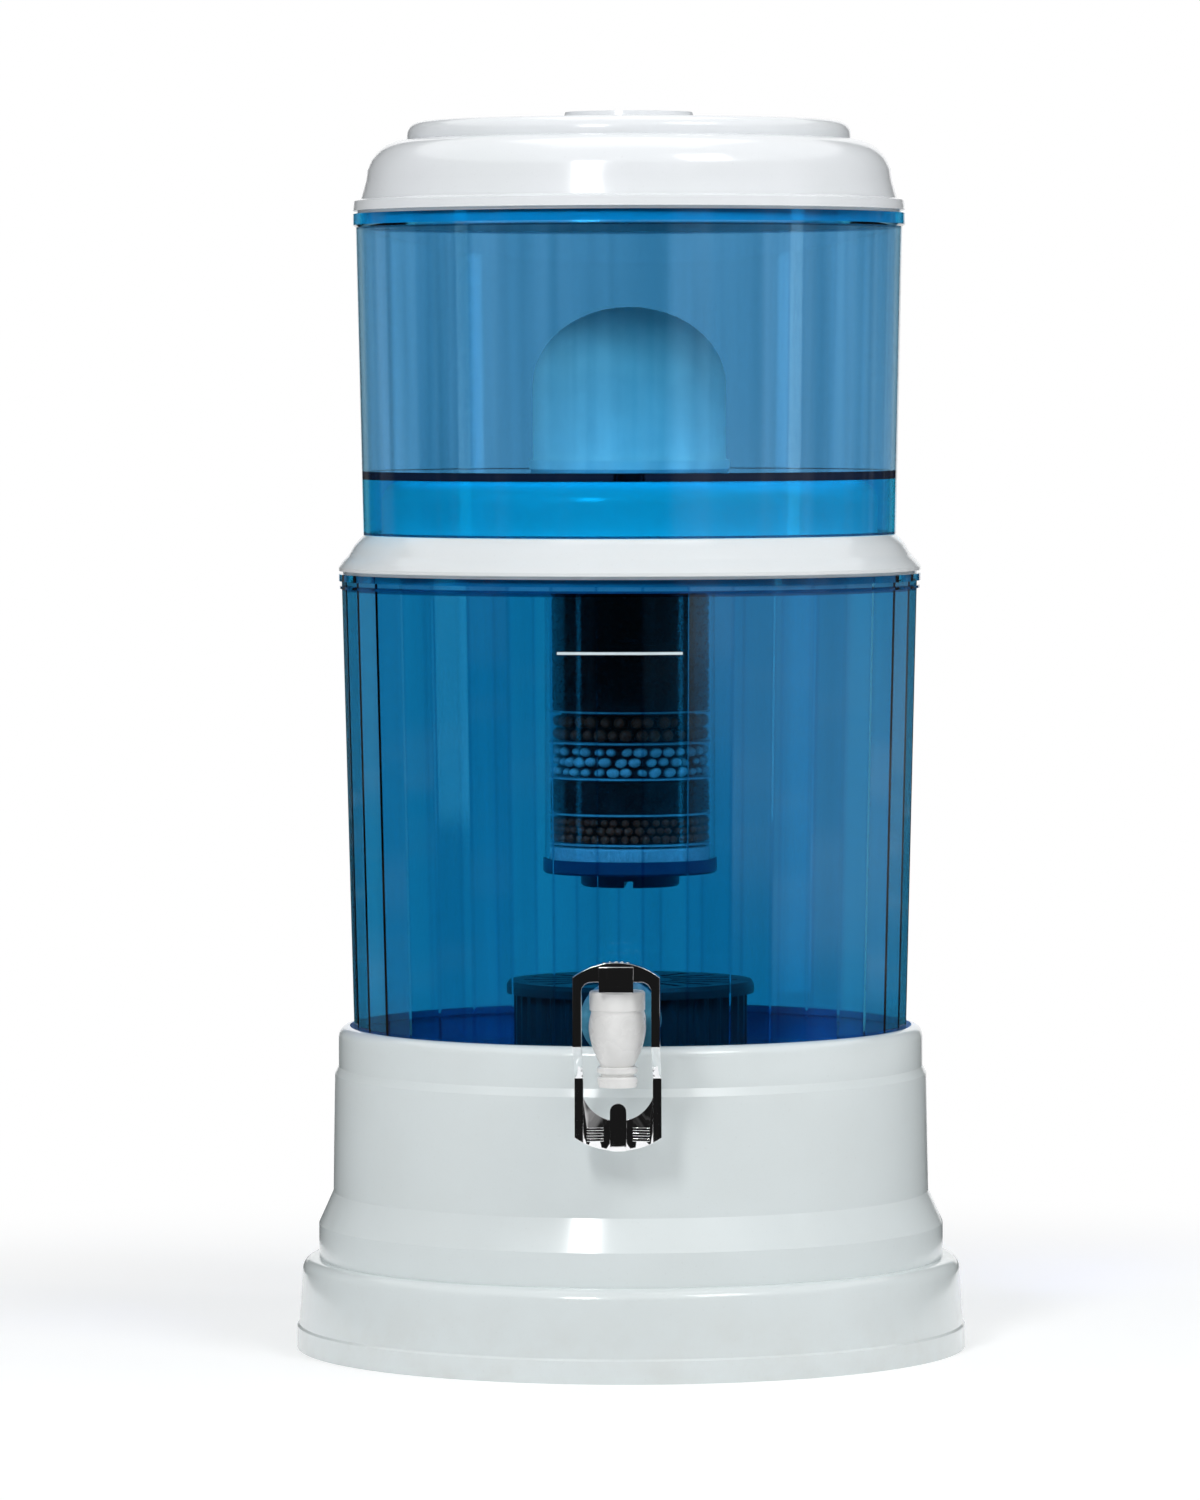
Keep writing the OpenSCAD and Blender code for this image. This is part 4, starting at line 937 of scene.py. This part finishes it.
def paintLine():
    side = math.radians(fillLine["facet"])
    flat = fillLine["cornerRadius"] * math.cos(side / 2)
    edgeX = fillLine["cornerRadius"] * math.sin(side / 2)
    reach = fillLine["length"] / 2
    back = (reach - edgeX) / math.cos(side) * math.sin(side) - flat
    low = fillLine["height"] - fillLine["width"] / 2
    shape = bmesh.new()
    points = [
        shape.verts.new((x, y, low))
        for x, y in ((-reach, back), (-edgeX, -flat), (edgeX, -flat), (reach, back))
    ]
    edges = [shape.edges.new(pair) for pair in zip(points, points[1:])]
    raised = bmesh.ops.extrude_edge_only(shape, edges=edges)
    bmesh.ops.translate(shape, vec=(0, 0, fillLine["width"]), verts=newPoints(raised))
    painted = bmesh.ops.extrude_face_region(shape, geom=shape.faces[:])
    bmesh.ops.translate(shape, vec=(0, -fillLine["film"], 0), verts=newPoints(painted))
    bmesh.ops.recalc_face_normals(shape, faces=shape.faces)
    makePiece("fill_line", shape, linePaint, "tank", fillLine["smooth"])


paintLine()
print("stage: fill line painted")

# The pale floor, which fades to white between two distances from the axis.
floorLook = {
    "size": 9.0,
    "tone": colour(0.89, 0.89, 0.89), "worn": colour(0.8, 0.8, 0.8), "grain": 0.002,
    "lift": 0.25,  # so that it reads as white away from the shadow
    "shadowFrom": 0.26, "shadowTo": 0.7,
}


# What the camera, metal and glass see as plain white.
def seenDirectly(finish):
    path = finish.add("ShaderNodeLightPath", out=None)
    camera, glossy, glass = (
        Amount(finish, path.outputs[ray])
        for ray in ("Is Camera Ray", "Is Glossy Ray", "Is Transmission Ray")
    )
    return (camera + glossy + glass).low(1.0)


def layFloor():
    finish = Finish("pale floor")
    away = finish.add("ShaderNodeVectorMath", {"operation": "LENGTH"}, {0: finish.place}, 1)
    far = finish.fade(away, floorLook["shadowFrom"], floorLook["shadowTo"])
    grain = finish.noise(floorLook["grain"], 3)
    matt = finish.add("ShaderNodeBsdfDiffuse", values={
        "Color": finish.blend(grain * 0.05, floorLook["tone"], floorLook["worn"]),
    })
    seen = seenDirectly(finish)
    bright = finish.add("ShaderNodeEmission", values={"Color": white})
    lift = finish.add("ShaderNodeEmission", values={
        "Color": finish.blend(seen * floorLook["lift"], black, white),
    })
    lit = finish.add("ShaderNodeAddShader", values={0: matt, 1: lift})
    shape = bmesh.new()
    bmesh.ops.create_grid(shape, x_segments=1, y_segments=1, size=floorLook["size"] / 2)
    makeObject("floor", shape, finish.done(finish.mixed(far * seen, lit, bright)))


# What bright things mirror besides the white surroundings: a dim room round the camera,
# with a few lighter upright stretches, which glows a little more to the right.
dimRoom = {
    "radius": 4.2, "height": 3.2,
    "floorFrom": 0.45, "floorLift": 4 * mm,
    "front": 100, "back": 166,  # degrees to either side of the tap; behind, it is open
    "steps": 36,
    "gaps": 1.4, "gapGlow": 0.19,
    "fine": 0.35, "fineGlow": 0.11,
    "rightGlow": 0.05, "floorGlow": 0.42, "least": 0.01,
}


# It shows only in a reflection, never straight through the tanks.
def roomTone():
    finish = Finish("dim room")
    gaps = finish.noise(dimRoom["gaps"], 1, at=finish.stretch((1, 1, 0.06)))
    fine = finish.noise(dimRoom["fine"], 2, at=finish.stretch((1, 1, 0.05)))
    glow = finish.fade(gaps, 0.52, 0.66) * dimRoom["gapGlow"]
    glow = glow + finish.fade(fine, 0.5, 0.7) * dimRoom["fineGlow"]
    behind = finish.fade(finish.along("Y"), 0, 3.5) * 0.6  # from and to in metres
    right = finish.fade(finish.along("X"), 1.0, 2.5) * (1 - behind)
    side = finish.fade(abs(finish.along("X")), 0.5, 1.6)
    low = finish.fade(finish.along("Z"), 0.3, 0.01)
    grey = glow * (0.5 + right * 0.5) * side
    grey = grey + right * (low * dimRoom["floorGlow"] + dimRoom["rightGlow"])
    shine = finish.add("ShaderNodeEmission", values={
        "Color": finish.blend(grey + dimRoom["least"], black, white),
    })
    path = finish.add("ShaderNodeLightPath", out=None)
    glossy = Amount(finish, path.outputs["Glossy Depth"])
    diffuse = Amount(finish, path.outputs["Diffuse Depth"])
    clear = finish.add("ShaderNodeBsdfTransparent")
    return finish.done(finish.mixed((glossy + diffuse).low(1.0), clear, shine))


# A stretch of the room, between two azimuths left of the tap.
def addRoom(name, start, end, material, throughGlass):
    line = [
        (dimRoom["floorFrom"], dimRoom["floorLift"]),
        (dimRoom["radius"], dimRoom["floorLift"]),
        (dimRoom["radius"], dimRoom["height"]),
    ]
    wall = makeObject(
        name, sweep(line, 270 - start, start - end, dimRoom["steps"], False), material
    )
    wall.visible_camera = False
    wall.visible_diffuse = False
    wall.visible_shadow = False
    wall.visible_transmission = throughGlass


def buildRoom():
    dim = roomTone()
    front, back = dimRoom["front"], dimRoom["back"]
    addRoom("dim_room_front", front, -front, dim, True)
    addRoom("dim_room_left", back, front, dim, False)
    addRoom("dim_room_right", -front, -back, dim, False)


# Lamps turned to the filter's middle, and the light of the white surroundings.
aimHeight = 0.28
lamps = [
    # name, azimuth left of the tap, elevation, distance, width, height, watts, mirrored
    ("front left softbox", 17.0, 33.0, 2.6, 0.45, 0.7, 17.0, True),
    ("high right softbox", -42.0, 48.0, 2.6, 0.8, 0.8, 13.0, True),
    ("left strip", 72.0, 14.0, 2.2, 0.25, 1.6, 4.0, False),
    ("right strip", -76.0, 14.0, 2.2, 0.25, 1.6, 5.0, False),
    ("overhead", 180.0, 80.0, 2.2, 1.4, 1.4, 9.0, True),
]
sky = {"light": 0.42, "tone": colour(0.97, 0.985, 1.0)}


def hangLamps():
    for name, azimuth, elevation, distance, width, height, watts, mirrored in lamps:
        lamp = bpy.data.lights.new(name, "AREA")
        lamp.shape = "RECTANGLE"
        lamp.size = width
        lamp.size_y = height
        lamp.energy = watts
        holder = bpy.data.objects.new(name, lamp)
        bpy.context.scene.collection.objects.link(holder)
        holder.visible_glossy = mirrored
        side, lift = math.radians(azimuth), math.radians(elevation)
        out = Vector((
            -math.sin(side) * math.cos(lift), -math.cos(side) * math.cos(lift), math.sin(lift)
        ))
        holder.location = Vector((0, 0, aimHeight)) + out * distance
        holder.rotation_euler = out.to_track_quat("Z", "Y").to_euler()


def lightSky():
    world = bpy.data.worlds.new("white room")
    bpy.context.scene.world = world
    finish = Finish("white room", world)
    soft = finish.add("ShaderNodeBackground", values={
        "Color": sky["tone"], "Strength": sky["light"],
    })
    bright = finish.add("ShaderNodeBackground", values={"Color": white, "Strength": 1.0})
    finish.done(finish.mixed(seenDirectly(finish), soft, bright), "ShaderNodeOutputWorld")
    bpy.context.scene.view_settings.view_transform = "Standard"


layFloor()
buildRoom()
hangLamps()
lightSky()
print("stage: studio built")
